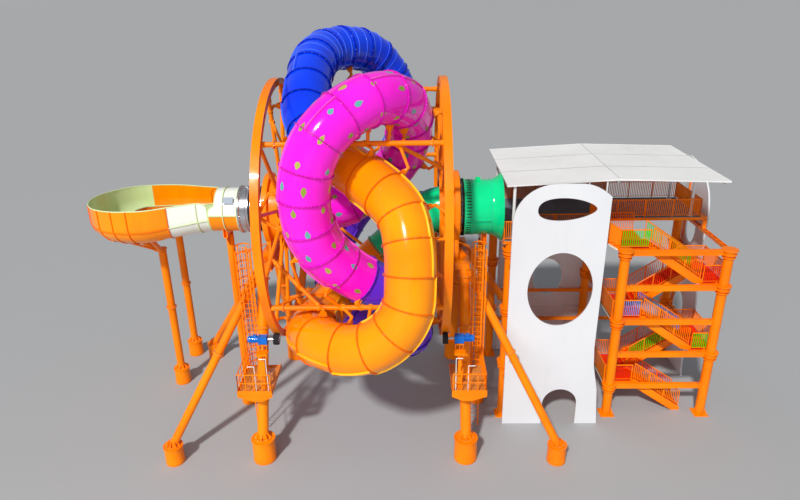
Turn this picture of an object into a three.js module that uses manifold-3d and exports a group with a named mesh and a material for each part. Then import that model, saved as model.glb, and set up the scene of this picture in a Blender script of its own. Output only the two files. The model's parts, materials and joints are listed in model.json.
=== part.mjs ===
// A water slide whose closed tube winds through a turning wheel, with the stair tower that
// feeds it and the open chute that it runs out into. Millimetres, +Z up, ground at z = 0.
// X runs along the wheel's axle from the chute to the tower, and -Y is the front.
import * as THREE from "three";
import { mergeVertices } from "three/addons/utils/BufferGeometryUtils.js";
import Module from "manifold-3d";

const wasm = await Module();
wasm.setup();

// Driving dimensions of the wheel
const axleHeight = 12850;
const seatGap = 0.3;
const framePlane = 4400;
const frameDepth = 400;
const rimOuterRadius = 7100;
const rimInnerRadius = 6750;
const hubOuterRadius = 1950;
const hubBoreRadius = 1350;
const hubClearance = 270;
const hubEnd = 5000;
const spokeCount = 12;
const spokeRadius = 110;
const crossBarRadius = 100;
const stayRadius = 75;
const staySides = 6;
const roundSides = 8;
const hubSides = 24;

// Driving dimensions of the riding tube
const tubeRadius = 1270;
const tubeWall = 45;
const tubeSides = 12;

// Driving dimensions of the supports
const legPlane = 5570;
const legFootY = 5400;
const legTopY = 1500;
const legTopZ = 10300;
const legRadius = 300;
const pedestalRadius = 620;
const pedestalHeight = 1400;
const yokeThickness = 300;
const yokeRadius = 2050;

// Driving dimensions of the run-out chute
const chuteRadius = 1230;
const chuteWall = 60;
const jointEnd = -6800;
const coverEnd = -8400;
const bendCentreX = -12500;
const bendCentreY = 2100;
const bendRadius = 2500;
const chuteEndX = -9200;
const wallHeights = { start: 600, bendStart: 1000, bendEnd: 700, end: 450 };
const innerWallHeight = 20;

// Driving dimensions of the stair tower
const columnX = [8100, 14450, 20100];
const columnY = [-1400, 5600];
const columnRadius = 275;
const halfStorey = 2147;
const stepsPerFlight = 12;
const flightWidth = 1350;
const deckTop = 11450;
const slabThickness = 160;
const leftEavesHeight = 14530;
const rightEavesHeight = 14650;
const ridgeHeight = 14830;
const railHeight = 1100;

const materials = {
  orangePaint: new THREE.MeshStandardMaterial({ color: 0xf58a12, roughness: 0.35, metalness: 0.1 }),
  orangeShell: new THREE.MeshStandardMaterial({ color: 0xff9d05, roughness: 0.15, metalness: 0 }),
  blueShell: new THREE.MeshStandardMaterial({ color: 0x0a3ce0, roughness: 0.15, metalness: 0 }),
  magentaShell: new THREE.MeshStandardMaterial({ color: 0xf028c8, roughness: 0.15, metalness: 0 }),
  purpleShell: new THREE.MeshStandardMaterial({ color: 0x6a34e0, roughness: 0.15, metalness: 0 }),
  greenShell: new THREE.MeshStandardMaterial({ color: 0x08c87c, roughness: 0.15, metalness: 0 }),
  creamShell: new THREE.MeshStandardMaterial({ color: 0xf4f6dc, roughness: 0.2, metalness: 0 }),
  steel: new THREE.MeshStandardMaterial({ color: 0xc4c8cc, roughness: 0.25, metalness: 1 }),
  rubber: new THREE.MeshStandardMaterial({ color: 0x16181a, roughness: 0.8, metalness: 0 }),
  motorBlue: new THREE.MeshStandardMaterial({ color: 0x1a6fd8, roughness: 0.4, metalness: 0.2 }),
  whitePanel: new THREE.MeshStandardMaterial({ color: 0xf6f6f4, roughness: 0.4, metalness: 0 }),
  roofSheet: new THREE.MeshStandardMaterial({ color: 0xeeeae2, roughness: 0.5, metalness: 0 }),
  redTread: new THREE.MeshStandardMaterial({ color: 0xe2421c, roughness: 0.6, metalness: 0.1 }),
};

const assembly = new THREE.Group();

// Turns a closed three.js geometry into a solid that can be joined and cut.
function solid(geometry) {
  const bare = geometry.clone();
  bare.deleteAttribute("normal");
  bare.deleteAttribute("uv");
  const merged = mergeVertices(bare, 0.001);
  const made = new wasm.Manifold(
    new wasm.Mesh({
      numProp: 3,
      vertProperties: new Float32Array(merged.attributes.position.array),
      triVerts: new Uint32Array(merged.index.array),
    }),
  );
  return made;
}

// Joins several geometries into one solid.
function join(geometries) {
  return geometries.map(solid).reduce((whole, piece) => whole.add(piece));
}

function geometryOf(made) {
  const mesh = made.getMesh();
  const geometry = new THREE.BufferGeometry();
  geometry.setAttribute("position", new THREE.BufferAttribute(mesh.vertProperties, 3));
  geometry.setIndex(new THREE.BufferAttribute(mesh.triVerts, 1));
  geometry.computeVertexNormals();
  return geometry;
}

function add(name, shape, material) {
  const geometry = shape.isBufferGeometry ? shape : geometryOf(shape);
  const mesh = new THREE.Mesh(geometry, material.clone());
  mesh.name = name;
  assembly.add(mesh);
}

function block(x0, x1, y0, y1, z0, z1) {
  const geometry = new THREE.BoxGeometry(x1 - x0, y1 - y0, z1 - z0);
  return geometry.translate((x0 + x1) / 2, (y0 + y1) / 2, (z0 + z1) / 2);
}

// A round bar between two points, with a flat turned towards its local X.
function bar(from, to, radius, sides = roundSides, endRadius = radius) {
  const a = new THREE.Vector3(...from);
  const b = new THREE.Vector3(...to);
  const along = new THREE.Vector3().subVectors(b, a);
  const length = along.length();
  const geometry = new THREE.CylinderGeometry(endRadius, radius, length, sides, 1, false, Math.PI / sides);
  const turn = new THREE.Quaternion().setFromUnitVectors(new THREE.Vector3(0, 1, 0), along.normalize());
  geometry.applyQuaternion(turn);
  return geometry.translate((a.x + b.x) / 2, (a.y + b.y) / 2, (a.z + b.z) / 2);
}

// A solid of revolution about the wheel's axle, from a profile of [x, radius] points.
function turned(profile, sides = hubSides) {
  const points = profile.map(([x, radius]) => new THREE.Vector2(radius, x));
  if (THREE.ShapeUtils.area(points) < 0) points.reverse();
  points.push(points[0].clone());
  const geometry = new THREE.LatheGeometry(points, sides);
  geometry.rotateZ(-Math.PI / 2);
  return geometry.translate(0, 0, axleHeight);
}

// A ring about the axle with a rectangular section.
function ringAboutAxle(x0, x1, inner, outer, sides = hubSides) {
  return turned([[x0, inner], [x0, outer], [x1, outer], [x1, inner]], sides);
}

// A place beside the axle: the angle runs from the top towards the front.
function wheelPoint(x, radius, degrees) {
  const angle = THREE.MathUtils.degToRad(degrees);
  return [x, -radius * Math.sin(angle), axleHeight + radius * Math.cos(angle)];
}

// The two side frames of the wheel: a rim, spokes and a hub ring with its journal.
const spokeAngles = Array.from({ length: spokeCount }, (_, i) => 15 + (360 / spokeCount) * i);

function sideFrame(side) {
  const plane = side * framePlane;
  const near = plane - frameDepth / 2;
  const far = plane + frameDepth / 2;
  const journal = side > 0 ? [far - 50, hubEnd] : [-hubEnd, near + 50];
  const pieces = [
    ringAboutAxle(near, far, rimInnerRadius, rimOuterRadius, 36),
    ringAboutAxle(near, far, hubBoreRadius + hubClearance, hubOuterRadius),
    ringAboutAxle(journal[0], journal[1], hubBoreRadius, hubOuterRadius - 150),
  ];
  for (const degrees of spokeAngles) {
    const inner = wheelPoint(plane, hubOuterRadius - 150, degrees);
    const outer = wheelPoint(plane, rimInnerRadius + 60, degrees);
    pieces.push(bar(inner, outer, spokeRadius));
  }
  return join(pieces);
}

add("wheel_frame_left", sideFrame(-1), materials.orangePaint);
add("wheel_frame_right", sideFrame(1), materials.orangePaint);

// Cross bars between the frames, each from spoke to spoke, some braced in pairs.
const barEnd = framePlane - spokeRadius * Math.cos(Math.PI / roundSides) - seatGap;

function crossBar(degrees, radius) {
  return bar(wheelPoint(-barEnd, radius, degrees), wheelPoint(barEnd, radius, degrees), crossBarRadius);
}

function stay(from, to) {
  return bar(from, to, stayRadius, staySides);
}

function bracedPair(first, second) {
  const inset = barEnd - 200;
  const middle = wheelPoint(0, second.radius, second.degrees);
  const diagonals = [
    stay(wheelPoint(-inset, first.radius, first.degrees), middle),
    stay(middle, wheelPoint(inset, first.radius, first.degrees)),
  ];
  return join([crossBar(first.degrees, first.radius), crossBar(second.degrees, second.radius), ...diagonals]);
}

add("wheel_cross_brace_top_rear", bracedPair({ degrees: 315, radius: 6600 }, { degrees: 285, radius: 6100 }),
  materials.orangePaint);
add("wheel_cross_brace_lower_rear", bracedPair({ degrees: 255, radius: 5900 },
  { degrees: 225, radius: 6100 }), materials.orangePaint);
add("wheel_cross_bar_bottom", join([crossBar(195, 6000)]), materials.orangePaint);

// The two front bars each carry one diagonal stay, and the lower one runs from rim to rim.
const betweenSpokes = solid(block(-barEnd, barEnd, -2 * rimOuterRadius, 2 * rimOuterRadius,
  0, 2 * axleHeight));
const rimBarEnd = framePlane - frameDepth / 2 - seatGap;
const topBar = { degrees: 45, radius: 6600 };
const topStay = stay(wheelPoint(1900, topBar.radius, topBar.degrees),
  wheelPoint(framePlane, 4150, topBar.degrees));
const onLowerBar = (x) => wheelPoint(x, 6950, 116);
const lowerBar = bar(onLowerBar(-rimBarEnd), onLowerBar(rimBarEnd), crossBarRadius);
const lowerStay = stay(onLowerBar(-1750), wheelPoint(-framePlane, 4600, 105));
add("wheel_cross_bar_top_front", join([crossBar(topBar.degrees, topBar.radius), topStay])
  .intersect(betweenSpokes), materials.orangePaint);
add("wheel_cross_bar_front", join([lowerBar, lowerStay]).intersect(betweenSpokes), materials.orangePaint);

// The riding tube's centre line, in metres from the middle of the axle. It leaves the entry
// hub, swings from side to side while it goes round the axle one and a half times, and
// comes back to the axle at the exit hub.
const M = 1000;
const tubeRoute = {
  green: [[5.6, 0, 0], [4.9, 0, 0], [4.3, 0, -0.03], [3.6, 0.12, -0.35],
    [2.85, 0.4, -1.05], [2.1, 0.7, -1.95], [1, 0.9, -3.05]],
  orange: [[-0.5, -0.1, -4.15], [-1.8, -1.9, -4.85], [-2.4, -3.8, -5.05], [-2.4, -5.8, -4.75],
    [-1.61, -7.3, -4.4], [-0.43, -8, -4.38], [0.82, -8.3, -4.04], [1.9, -8.3, -3.21],
    [2.5, -8.1, -2.14], [2.62, -7.8, -0.88], [2.6, -7.3, 0.48], [2.26, -6.4, 1.74],
    [1.28, -5.3, 2.56], [-0.15, -4.1, 3.27], [-1.59, -3, 4.1]],
  blue: [[-2.55, -1.6, 5.33], [-2.68, 0, 6.5], [-2.6, 2, 7.51], [-2.17, 4, 8.12],
    [-0.93, 5.6, 8.26], [0.29, 6.8, 7.74], [1.29, 7.5, 6.52], [2.05, 7.8, 4.85],
    [2.4, 7.8, 3.05], [1.7, 7.7, 1.05]],
  purple: [[0.2, 7.6, -1.05], [-1.5, 7.2, -3.05], [-2.5, 6.2, -4.95], [-2.5, 4.5, -6.55],
    [-1.2, 2.5, -7.55], [0.7, 0.6, -7.85], [2.1, -1.3, -7.45], [2.6, -3, -5.95],
    [2.2, -4.1, -4.05], [0.97, -4.8, -2.63]],
  magenta: [[-0.34, -5.4, -1.53], [-1.47, -6, -0.21], [-2.04, -6.5, 1.48], [-2.07, -6.7, 3.15],
    [-1.58, -6.6, 4.84], [-0.65, -6.1, 5.95], [0.53, -5.2, 6.61], [1.65, -4, 6.64],
    [2.45, -2.5, 5.92], [2.6, -0.9, 4.42], [2.1, 0.1, 2.8], [0.95, 0.5, 1.45],
    [-0.7, 0.2, 0.35], [-2.6, 0, 0], [-4.6, 0, 0], [-5.6, 0, 0]],
};

const routePoints = [];
const sectionEnds = {};
for (const [colour, points] of Object.entries(tubeRoute)) {
  const first = Math.max(routePoints.length - 1, 0);
  points.forEach(([x, y, z]) => routePoints.push(new THREE.Vector3(x * M, y * M, z * M + axleHeight)));
  sectionEnds[colour] = [first, routePoints.length - 1];
}
const route = new THREE.CatmullRomCurve3(routePoints, false, "centripetal");

// A stretch of the route as a curve of its own, between two shares of the whole.
class Stretch extends THREE.Curve {
  constructor(start, end) {
    super();
    this.start = start;
    this.end = end;
  }

  getPoint(t, target = new THREE.Vector3()) {
    return route.getPoint(this.start + (this.end - this.start) * t, target);
  }

  getTangent(t, target = new THREE.Vector3()) {
    return route.getTangent(this.start + (this.end - this.start) * t, target);
  }
}

// A flat ring of straight sides, or a disc where the inner radius is 0.
function roundShape(outer, inner, sides) {
  const outline = new THREE.Shape();
  const hole = new THREE.Path();
  for (let i = 0; i < sides; i += 1) {
    const angle = (2 * Math.PI * (i + 0.5)) / sides;
    const move = i === 0 ? "moveTo" : "lineTo";
    outline[move](outer * Math.cos(angle), outer * Math.sin(angle));
    hole[move](inner * Math.cos(angle), inner * Math.sin(angle));
  }
  outline.closePath();
  hole.closePath();
  if (inner > 0) outline.holes.push(hole);
  return outline;
}

function sweep(shape, curve, steps) {
  return new THREE.ExtrudeGeometry(shape, { steps, bevelEnabled: false, extrudePath: curve });
}

// Each colour is one shell. The end shells carry a collar that seats in the hub journal.
const shellSection = roundShape(tubeRadius, tubeRadius - tubeWall, tubeSides);
const lastPoint = routePoints.length - 1;
const jointShare = seatGap / 2 / route.getLength();
const shellMaterials = {
  green: materials.greenShell,
  orange: materials.orangeShell,
  blue: materials.blueShell,
  purple: materials.purpleShell,
  magenta: materials.magentaShell,
};
const insideHubs = solid(block(-hubEnd, hubEnd, -2 * M, 2 * M, axleHeight - 5 * M, axleHeight + 3 * M));
const collarInner = tubeRadius * Math.cos(Math.PI / tubeSides) - tubeWall / 2;
const hubCollars = {
  green: solid(ringAboutAxle(hubEnd - 120, hubEnd, collarInner, hubBoreRadius - seatGap)),
  magenta: solid(ringAboutAxle(-hubEnd, -hubEnd + 120, collarInner, hubBoreRadius - seatGap)),
};
const beyondHub = {
  green: solid(block(hubEnd, 2 * hubEnd, -5 * M, 5 * M, 0, 2 * axleHeight)),
  magenta: solid(block(-2 * hubEnd, -hubEnd, -5 * M, 5 * M, 0, 2 * axleHeight)),
};
for (const [colour, [first, last]] of Object.entries(sectionEnds)) {
  const start = first / lastPoint + (first > 0 ? jointShare : 0);
  const end = last / lastPoint - (last < lastPoint ? jointShare : 0);
  const stretch = new Stretch(start, end);
  let shell = solid(sweep(shellSection, stretch, Math.round(stretch.getLength() / 1500)));
  if (hubCollars[colour]) shell = shell.subtract(beyondHub[colour]).add(hubCollars[colour]);
  add(`tube_${colour}`, shell, shellMaterials[colour]);
}

// A-frames that carry the hubs: a yoke on each side, two legs, and two raking braces.
const sides = { left: -1, right: 1 };
const headBottom = 9900;
const headTop = 10300;
const headHalfLength = 2000;
const headOuter = 5900;
const farAway = 40 * M;

// The part of a solid on one side of a plane at right angles to X or Z.
const above = (z) => solid(block(-farAway, farAway, -farAway, farAway, z, z + farAway));
const below = (z) => solid(block(-farAway, farAway, -farAway, farAway, z - farAway, z));

function between(side, near, far) {
  return side > 0 ? [near, far] : [-far, -near];
}

function yoke(side) {
  const [x0, x1] = between(side, hubEnd + seatGap, hubEnd + yokeThickness);
  const [h0, h1] = between(side, hubEnd + seatGap, headOuter);
  const bore = solid(ringAboutAxle(x0 - 50, x1 + 50, 0, hubBoreRadius));
  const cheek = block(x0, x1, -1500, 1500, headBottom, axleHeight);
  const head = block(h0, h1, -headHalfLength, headHalfLength, headBottom, headTop);
  const ring = ringAboutAxle(x0, x1, hubBoreRadius, yokeRadius);
  const gussets = [-900, 900].map((y) => {
    const [g0, g1] = between(side, hubEnd + yokeThickness - 20, headOuter - 100);
    return block(g0, g1, y - 30, y + 30, headTop - 20, headTop + 500);
  });
  return solid(cheek).subtract(bore).add(join([ring, head, ...gussets]));
}

// A round foot with a base flange, on the ground under a leg or a brace.
function pedestal(x, y, radius, height) {
  return [
    bar([x, y, 0], [x, y, 150], radius + 90, 16),
    bar([x, y, 140], [x, y, height], radius, 16),
    bar([x, y, height - 20], [x, y, height + 130], radius + 60, 16),
  ];
}

function supportLeg(side, rear) {
  const way = rear ? 1 : -1;
  const x = side * legPlane;
  const leg = bar([x, way * legFootY, pedestalHeight], [x, way * legTopY, legTopZ], legRadius);
  const whole = join([leg, ...pedestal(x, way * legFootY, pedestalRadius, pedestalHeight)]);
  return whole.subtract(above(headBottom - seatGap));
}

const braceFeet = { left: { front: [-10530, -5640], rear: [-11350, 5420] },
  right: { front: [10530, -5640], rear: [11350, 5420] } };

function supportBrace(side, [footX, footY]) {
  const way = Math.sign(footY);
  const top = [side * (headOuter - 300), way * 1500, headBottom + 250];
  const brace = bar([footX, footY, pedestalHeight - 300], top, 230);
  const [x0, x1] = between(side, 0, headOuter + seatGap);
  const inside = solid(block(x0, x1, -farAway, farAway, 0, farAway));
  const whole = join([brace, ...pedestal(footX, footY, 500, pedestalHeight - 300)]);
  return whole.subtract(inside);
}

for (const [name, side] of Object.entries(sides)) {
  add(`hub_yoke_${name}`, yoke(side), materials.orangePaint);
  add(`support_leg_${name}_front`, supportLeg(side, false), materials.orangePaint);
  add(`support_leg_${name}_rear`, supportLeg(side, true), materials.orangePaint);
  add(`support_brace_${name}_front`, supportBrace(side, braceFeet[name].front), materials.orangePaint);
  add(`support_brace_${name}_rear`, supportBrace(side, braceFeet[name].rear), materials.orangePaint);
}

// Service platforms round the front legs, with a ladder to the hub and a drive stand.
const platformX = [4750, 6600];
const platformY = [-5700, -2940];
const platformZ = 4500;
const ladder = { x: 6250, y: -2960, half: 230, foot: 300, rung: 600 };
const driveStandX = 5150;
const driveHeight = 6950;
const driveY = -5250;

function rail(from, to, half = 25) {
  const [x0, x1] = [Math.min(from[0], to[0]) - half, Math.max(from[0], to[0]) + half];
  const [y0, y1] = [Math.min(from[1], to[1]) - half, Math.max(from[1], to[1]) + half];
  const [z0, z1] = [Math.min(from[2], to[2]) - half, Math.max(from[2], to[2]) + half];
  return block(x0, x1, y0, y1, z0, z1);
}

// A railing along a line of plan points at one height: posts, a top rail and a knee rail.
function railing(points, z, spacing = 2400) {
  const pieces = [];
  for (let i = 0; i + 1 < points.length; i += 1) {
    const [x0, y0] = points[i];
    const [x1, y1] = points[i + 1];
    const length = Math.hypot(x1 - x0, y1 - y0);
    const bays = Math.max(1, Math.round(length / spacing));
    for (let k = i === 0 ? 0 : 1; k <= bays; k += 1) {
      const x = x0 + ((x1 - x0) * k) / bays;
      const y = y0 + ((y1 - y0) * k) / bays;
      pieces.push(rail([x, y, z - 10], [x, y, z + railHeight]));
    }
    pieces.push(rail([x0, y0, z + railHeight], [x1, y1, z + railHeight]));
    pieces.push(rail([x0, y0, z + railHeight / 2], [x1, y1, z + railHeight / 2]));
  }
  return pieces;
}

function servicePlatform(side) {
  const [x0, x1] = between(side, ...platformX);
  const edge = 60;
  const outer = side > 0 ? x1 - edge : x0 + edge;
  const inner = side > 0 ? x0 + edge : x1 - edge;
  const ladderX = [side * ladder.x - ladder.half, side * ladder.x + ladder.half];
  const standX = side * driveStandX;
  const x = side * legPlane;
  const pieces = [
    block(x0, x1, ...platformY, platformZ - 80, platformZ),
    ...railing([[inner, platformY[0] + edge], [outer, platformY[0] + edge], [outer, platformY[1] - 120]],
      platformZ),
    block(x - 60, x + 60, platformY[0] + 100, platformY[1] - 160, platformZ - 260, platformZ - 70),
    block(standX - 90, standX + 90, driveY - 90, driveY + 90, platformZ - 20, driveHeight - 300),
    block(standX - 300, standX + 300, driveY - 250, driveY + 250, driveHeight - 330, driveHeight - 270),
  ];
  for (const railX of ladderX) {
    pieces.push(rail([railX, ladder.y, ladder.foot], [railX, ladder.y, headBottom - 100], 30));
  }
  for (let z = ladder.rung; z < headBottom - 200; z += ladder.rung) {
    pieces.push(rail([ladderX[0], ladder.y, z], [ladderX[1], ladder.y, z], 18));
  }
  const leg = solid(bar([x, -legFootY, pedestalHeight], [x, -legTopY, legTopZ], legRadius + seatGap));
  return join(pieces).subtract(leg);
}

function driveUnit(side) {
  const rollerRadius = 300;
  const [r0, r1] = between(side, framePlane - frameDepth / 2 + 60, framePlane + frameDepth / 2 - 60);
  const angle = Math.atan2(-driveY, driveHeight - axleHeight);
  const centre = rimOuterRadius + rollerRadius + 12;
  const y = -centre * Math.sin(angle);
  const z = axleHeight + centre * Math.cos(angle);
  const deck = driveHeight - 270 + seatGap;
  const [g0, g1] = between(side, 4900, 5350);
  const [m0, m1] = between(side, 5340, 5900);
  return join([
    block(g0, g1, y - 200, y + 220, Math.min(deck, z - 200), z + 220),
    block(g0, g1, driveY - 200, y + 100, deck, z + 160),
    bar([m0, y, z], [m1, y, z], 190, 12),
    bar([r0, y, z], [r1, y, z], rollerRadius, 16),
    bar([r0, y, z], [side * 5000, y, z], 70),
  ]);
}

for (const [name, side] of Object.entries(sides)) {
  add(`service_platform_${name}`, servicePlatform(side), materials.orangePaint);
  add(`drive_unit_${name}`, driveUnit(side), materials.motorBlue);
}

// Entry: a seal ring and the fixed housing that the riders start through.
const housingStart = hubEnd + yokeThickness + 2 * seatGap + 260;
const housingEnd = 7640;
add("entry_seal_ring", solid(ringAboutAxle(hubEnd + yokeThickness + seatGap, housingStart - seatGap,
  hubBoreRadius, 1600)), materials.rubber);
add("entry_housing", solid(turned([[housingStart, 1440], [housingStart, 1530], [housingEnd - 600, 1530],
  [housingEnd, 1900], [housingEnd, 1810], [housingEnd - 600, 1440]])), materials.greenShell);

function entryPost() {
  const x = 6700;
  const saddle = block(x - 150, x + 150, -900, 900, 10950, 11500);
  const post = join([saddle, bar([x, 0, 1000], [x, 0, 11000], 220), ...pedestal(x, 0, 450, 1000)]);
  const housing = solid(ringAboutAxle(x - 400, x + 400, 0, 1530 + seatGap));
  return post.subtract(housing);
}

add("entry_post", entryPost(), materials.orangePaint);

// Exit: a steel swivel joint, then a closed length of shell with its top cut away.
const jointStart = -(hubEnd + yokeThickness + seatGap);
const jointLip = 120;
add("exit_swivel_joint", solid(turned([[jointStart, 1190], [jointStart, 1400], [jointStart - jointLip, 1400],
  [jointStart - jointLip, 1260], [jointEnd + jointLip, 1260], [jointEnd + jointLip, 1340],
  [jointEnd, 1340], [jointEnd, 1190]])), materials.steel);

// The chute's centre line: down from the joint, round a half turn, and back level.
const chutePoints = [[coverEnd, 0, axleHeight], [coverEnd - 800, 0, 12730], [-10800, -150, 12470],
  [bendCentreX, bendCentreY - bendRadius, 12250]];
for (const degrees of [45, 90, 135, 180]) {
  const angle = THREE.MathUtils.degToRad(degrees);
  chutePoints.push([bendCentreX - bendRadius * Math.sin(angle), bendCentreY - bendRadius * Math.cos(angle),
    12250 - degrees * 1.6]);
}
chutePoints.push([-10800, 4750, 11900], [chuteEndX, 4800, 11870]);
const chuteVectors = chutePoints.map((point) => new THREE.Vector3(...point));
const chuteLine = new THREE.CatmullRomCurve3(chuteVectors, false, "centripetal");

// The chute's section: [towards the outer side, up], a half round with two upright walls.
function chuteSection(outerWall, innerWall) {
  const arc = (radius, from, to) => Array.from({ length: 9 }, (_, i) => {
    const angle = THREE.MathUtils.degToRad(from + ((to - from) * i) / 8);
    return [radius * Math.cos(angle), radius * Math.sin(angle)];
  });
  const thin = chuteRadius - chuteWall;
  return [[chuteRadius, outerWall], [thin, outerWall], ...arc(thin, 0, -180), [-thin, innerWall],
    [-chuteRadius, innerWall], ...arc(chuteRadius, -180, 0)];
}

// Carries a closed section along a line that stays near level. The section is given for
// each share of the line, as points counted towards the bend's outer side and up.
function loft(sectionAt, curve, from, to, steps) {
  const outlineAt = (t) => {
    const points = sectionAt(t).map(([u, v]) => new THREE.Vector2(-u, v));
    return THREE.ShapeUtils.area(points) > 0 ? points.reverse() : points;
  };
  const outline = outlineAt(from);
  const count = outline.length;
  const positions = [];
  const index = [];
  for (let i = 0; i <= steps; i += 1) {
    const t = from + ((to - from) * i) / steps;
    const centre = curve.getPoint(t);
    const heading = curve.getTangent(t).setZ(0).normalize();
    for (const { x: u, y: v } of outlineAt(t)) {
      positions.push(centre.x + heading.y * u, centre.y - heading.x * u, centre.z + v);
    }
  }
  for (let i = 0; i < steps; i += 1) {
    for (let k = 0; k < count; k += 1) {
      const a = i * count + k;
      const b = i * count + ((k + 1) % count);
      index.push(a, b, a + count, b, b + count, a + count);
    }
  }
  const last = steps * count;
  for (const face of THREE.ShapeUtils.triangulateShape(outline, [])) {
    const corners = face.map((k) => outline[k]);
    const [p, q, r] = THREE.ShapeUtils.area(corners) < 0 ? face : [face[0], face[2], face[1]];
    index.push(p, r, q, last + p, last + q, last + r);
  }
  const geometry = new THREE.BufferGeometry();
  geometry.setAttribute("position", new THREE.Float32BufferAttribute(positions, 3));
  geometry.setIndex(index);
  return solid(geometry);
}

// The closed length's top opens in a hollow curve, cut by a round bar across it.
const mouthCut = { x: coverEnd - 900, z: axleHeight + 900, radius: 1700, halfLength: 2000 };
const coverCut = solid(bar([mouthCut.x, -mouthCut.halfLength, mouthCut.z],
  [mouthCut.x, mouthCut.halfLength, mouthCut.z], mouthCut.radius, 24));
const coverRing = ringAboutAxle(coverEnd + seatGap, jointEnd - seatGap, chuteRadius - chuteWall, chuteRadius);
add("exit_cover_tube", solid(coverRing).subtract(coverCut), materials.creamShell);
const nearShare = 3 / 9;
const bendShare = 7 / 9;
const troughGap = 0.00003;
const { mapLinear } = THREE.MathUtils;
const sectionWith = (outerWall) => chuteSection(outerWall, innerWallHeight);
const nearSection = (t) => sectionWith(mapLinear(t, 0, nearShare, wallHeights.start, wallHeights.bendStart));
const bendSection = (t) => sectionWith(mapLinear(t, nearShare, bendShare, wallHeights.bendStart,
  wallHeights.bendEnd));
const farSection = (t) => sectionWith(mapLinear(t, bendShare, 1, wallHeights.bendEnd, wallHeights.end));
add("chute_near_trough", loft(nearSection, chuteLine, 0, nearShare - troughGap, 4), materials.creamShell);
add("chute_bend_trough", loft(bendSection, chuteLine, nearShare, bendShare - troughGap, 12),
  materials.orangeShell);
add("chute_far_trough", loft(farSection, chuteLine, bendShare, 1, 3), materials.orangeShell);

// Columns under the chute, each with a saddle cut to the trough.
const envelopeRing = () => Array.from({ length: 16 }, (_, i) => {
  const angle = (2 * Math.PI * i) / 16;
  return [(chuteRadius + seatGap) * Math.cos(angle), (chuteRadius + seatGap) * Math.sin(angle)];
});
const troughEnvelope = loft(envelopeRing, chuteLine, 0, nearShare - troughGap, 4)
  .add(loft(envelopeRing, chuteLine, nearShare - troughGap, bendShare - troughGap, 12))
  .add(loft(envelopeRing, chuteLine, bendShare - troughGap, 1, 3));

function chuteColumn(foot, heads) {
  const [x, y] = foot;
  const forkZ = 9600;
  const footTop = pedestalHeight - 300;
  const pieces = [bar([x, y, footTop], [x, y, forkZ], 240), ...pedestal(x, y, 480, footTop)];
  for (const head of heads) pieces.push(bar([x, y, forkZ - 200], head, 150));
  return join(pieces).subtract(troughEnvelope);
}

add("chute_column_front", chuteColumn([-12690, 2260], [[-12300, -250, 11300], [-14850, 1500, 11150]]),
  materials.orangePaint);
add("chute_column_rear", chuteColumn([-12930, 5850], [[-12600, 4700, 10900], [-11000, 4780, 10900]]),
  materials.orangePaint);

function coverColumn() {
  const x = -7700;
  const saddle = block(x - 120, x + 120, -800, 800, 11400, 12000);
  const post = join([saddle, bar([x, 0, 1000], [x, 0, 11450], 220), ...pedestal(x, 0, 450, 1000)]);
  return post.subtract(solid(ringAboutAxle(x - 400, x + 400, 0, chuteRadius + seatGap)));
}

add("exit_column", coverColumn(), materials.orangePaint);

// Stair tower: columns, landings with front beams, flights, deck, canopy and front panel.
const deckBottom = deckTop - 200;
const leftLandingX = [14150, 15850];
const rightLandingX = [19000, 20350];
const flightRun = rightLandingX[0] - leftLandingX[1];
const frontLaneY = [-1100, -1100 + flightWidth];
const rearLaneY = [450, 450 + flightWidth];
const landingFront = columnY[0] + columnRadius * Math.cos(Math.PI / roundSides) + seatGap;
const landingBack = rearLaneY[1] + 100;

function towerColumn(x, y, top) {
  const plateHalf = 420;
  const plate = block(x - plateHalf, x + plateHalf, y - plateHalf, y + plateHalf, 0, 80);
  return join([bar([x, y, 60], [x, y, top], columnRadius), plate]);
}

columnX.forEach((x, i) => {
  columnY.forEach((y, k) => {
    const name = `tower_column_${["left", "middle", "right"][i]}_${["front", "rear"][k]}`;
    const top = i > 0 && k === 0 ? 5 * halfStorey + 40 : deckBottom - seatGap;
    add(name, towerColumn(x, y, top), materials.orangePaint);
  });
});

// A ring cut from a landing or a deck where columns pass, each with a close fit.
function columnHoles() {
  const holes = columnX.flatMap((x) => columnY.map((y) => bar([x, y, -100], [x, y, deckBottom - seatGap / 2],
    columnRadius + seatGap)));
  return join(holes);
}

const cutForColumns = columnHoles();
const flatHalf = columnRadius * Math.cos(Math.PI / roundSides) + seatGap;

// A landing's slab with the beam to its rear column, and the front beam with its corner piece.
const frontBeamHalf = 90;
const tieHalf = 100;

function landingSlab([x0, x1], z, columnAt, [cornerX0, cornerX1]) {
  const beamY = [columnY[0] - frontBeamHalf, columnY[0] + frontBeamHalf];
  return [
    block(x0, x1, landingFront, landingBack, z - slabThickness, z),
    block(columnAt - tieHalf, columnAt + tieHalf, landingBack - 50, columnY[1] - flatHalf,
      z - slabThickness, z - 10),
    block(columnX[1] + flatHalf, columnX[2] - flatHalf, ...beamY, z - 200, z),
    block(cornerX0, cornerX1, beamY[0], frontLaneY[0] - 10, z - 150, z - 10),
  ];
}

function leftLanding(level) {
  const z = level * halfStorey;
  const [x0, x1] = leftLandingX;
  const top = level === 5;
  const corner = [columnX[1] + tieHalf, columnX[1] + flatHalf + 120];
  const pieces = landingSlab(leftLandingX, z, columnX[1], corner);
  if (!top) pieces.push(...railing([[x1 - 30, landingFront + 30], [x0 + 30, landingFront + 30],
    [x0 + 30, landingBack - 30], [x1 - 30, landingBack - 30]], z));
  return join(pieces).subtract(cutForColumns);
}

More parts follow.
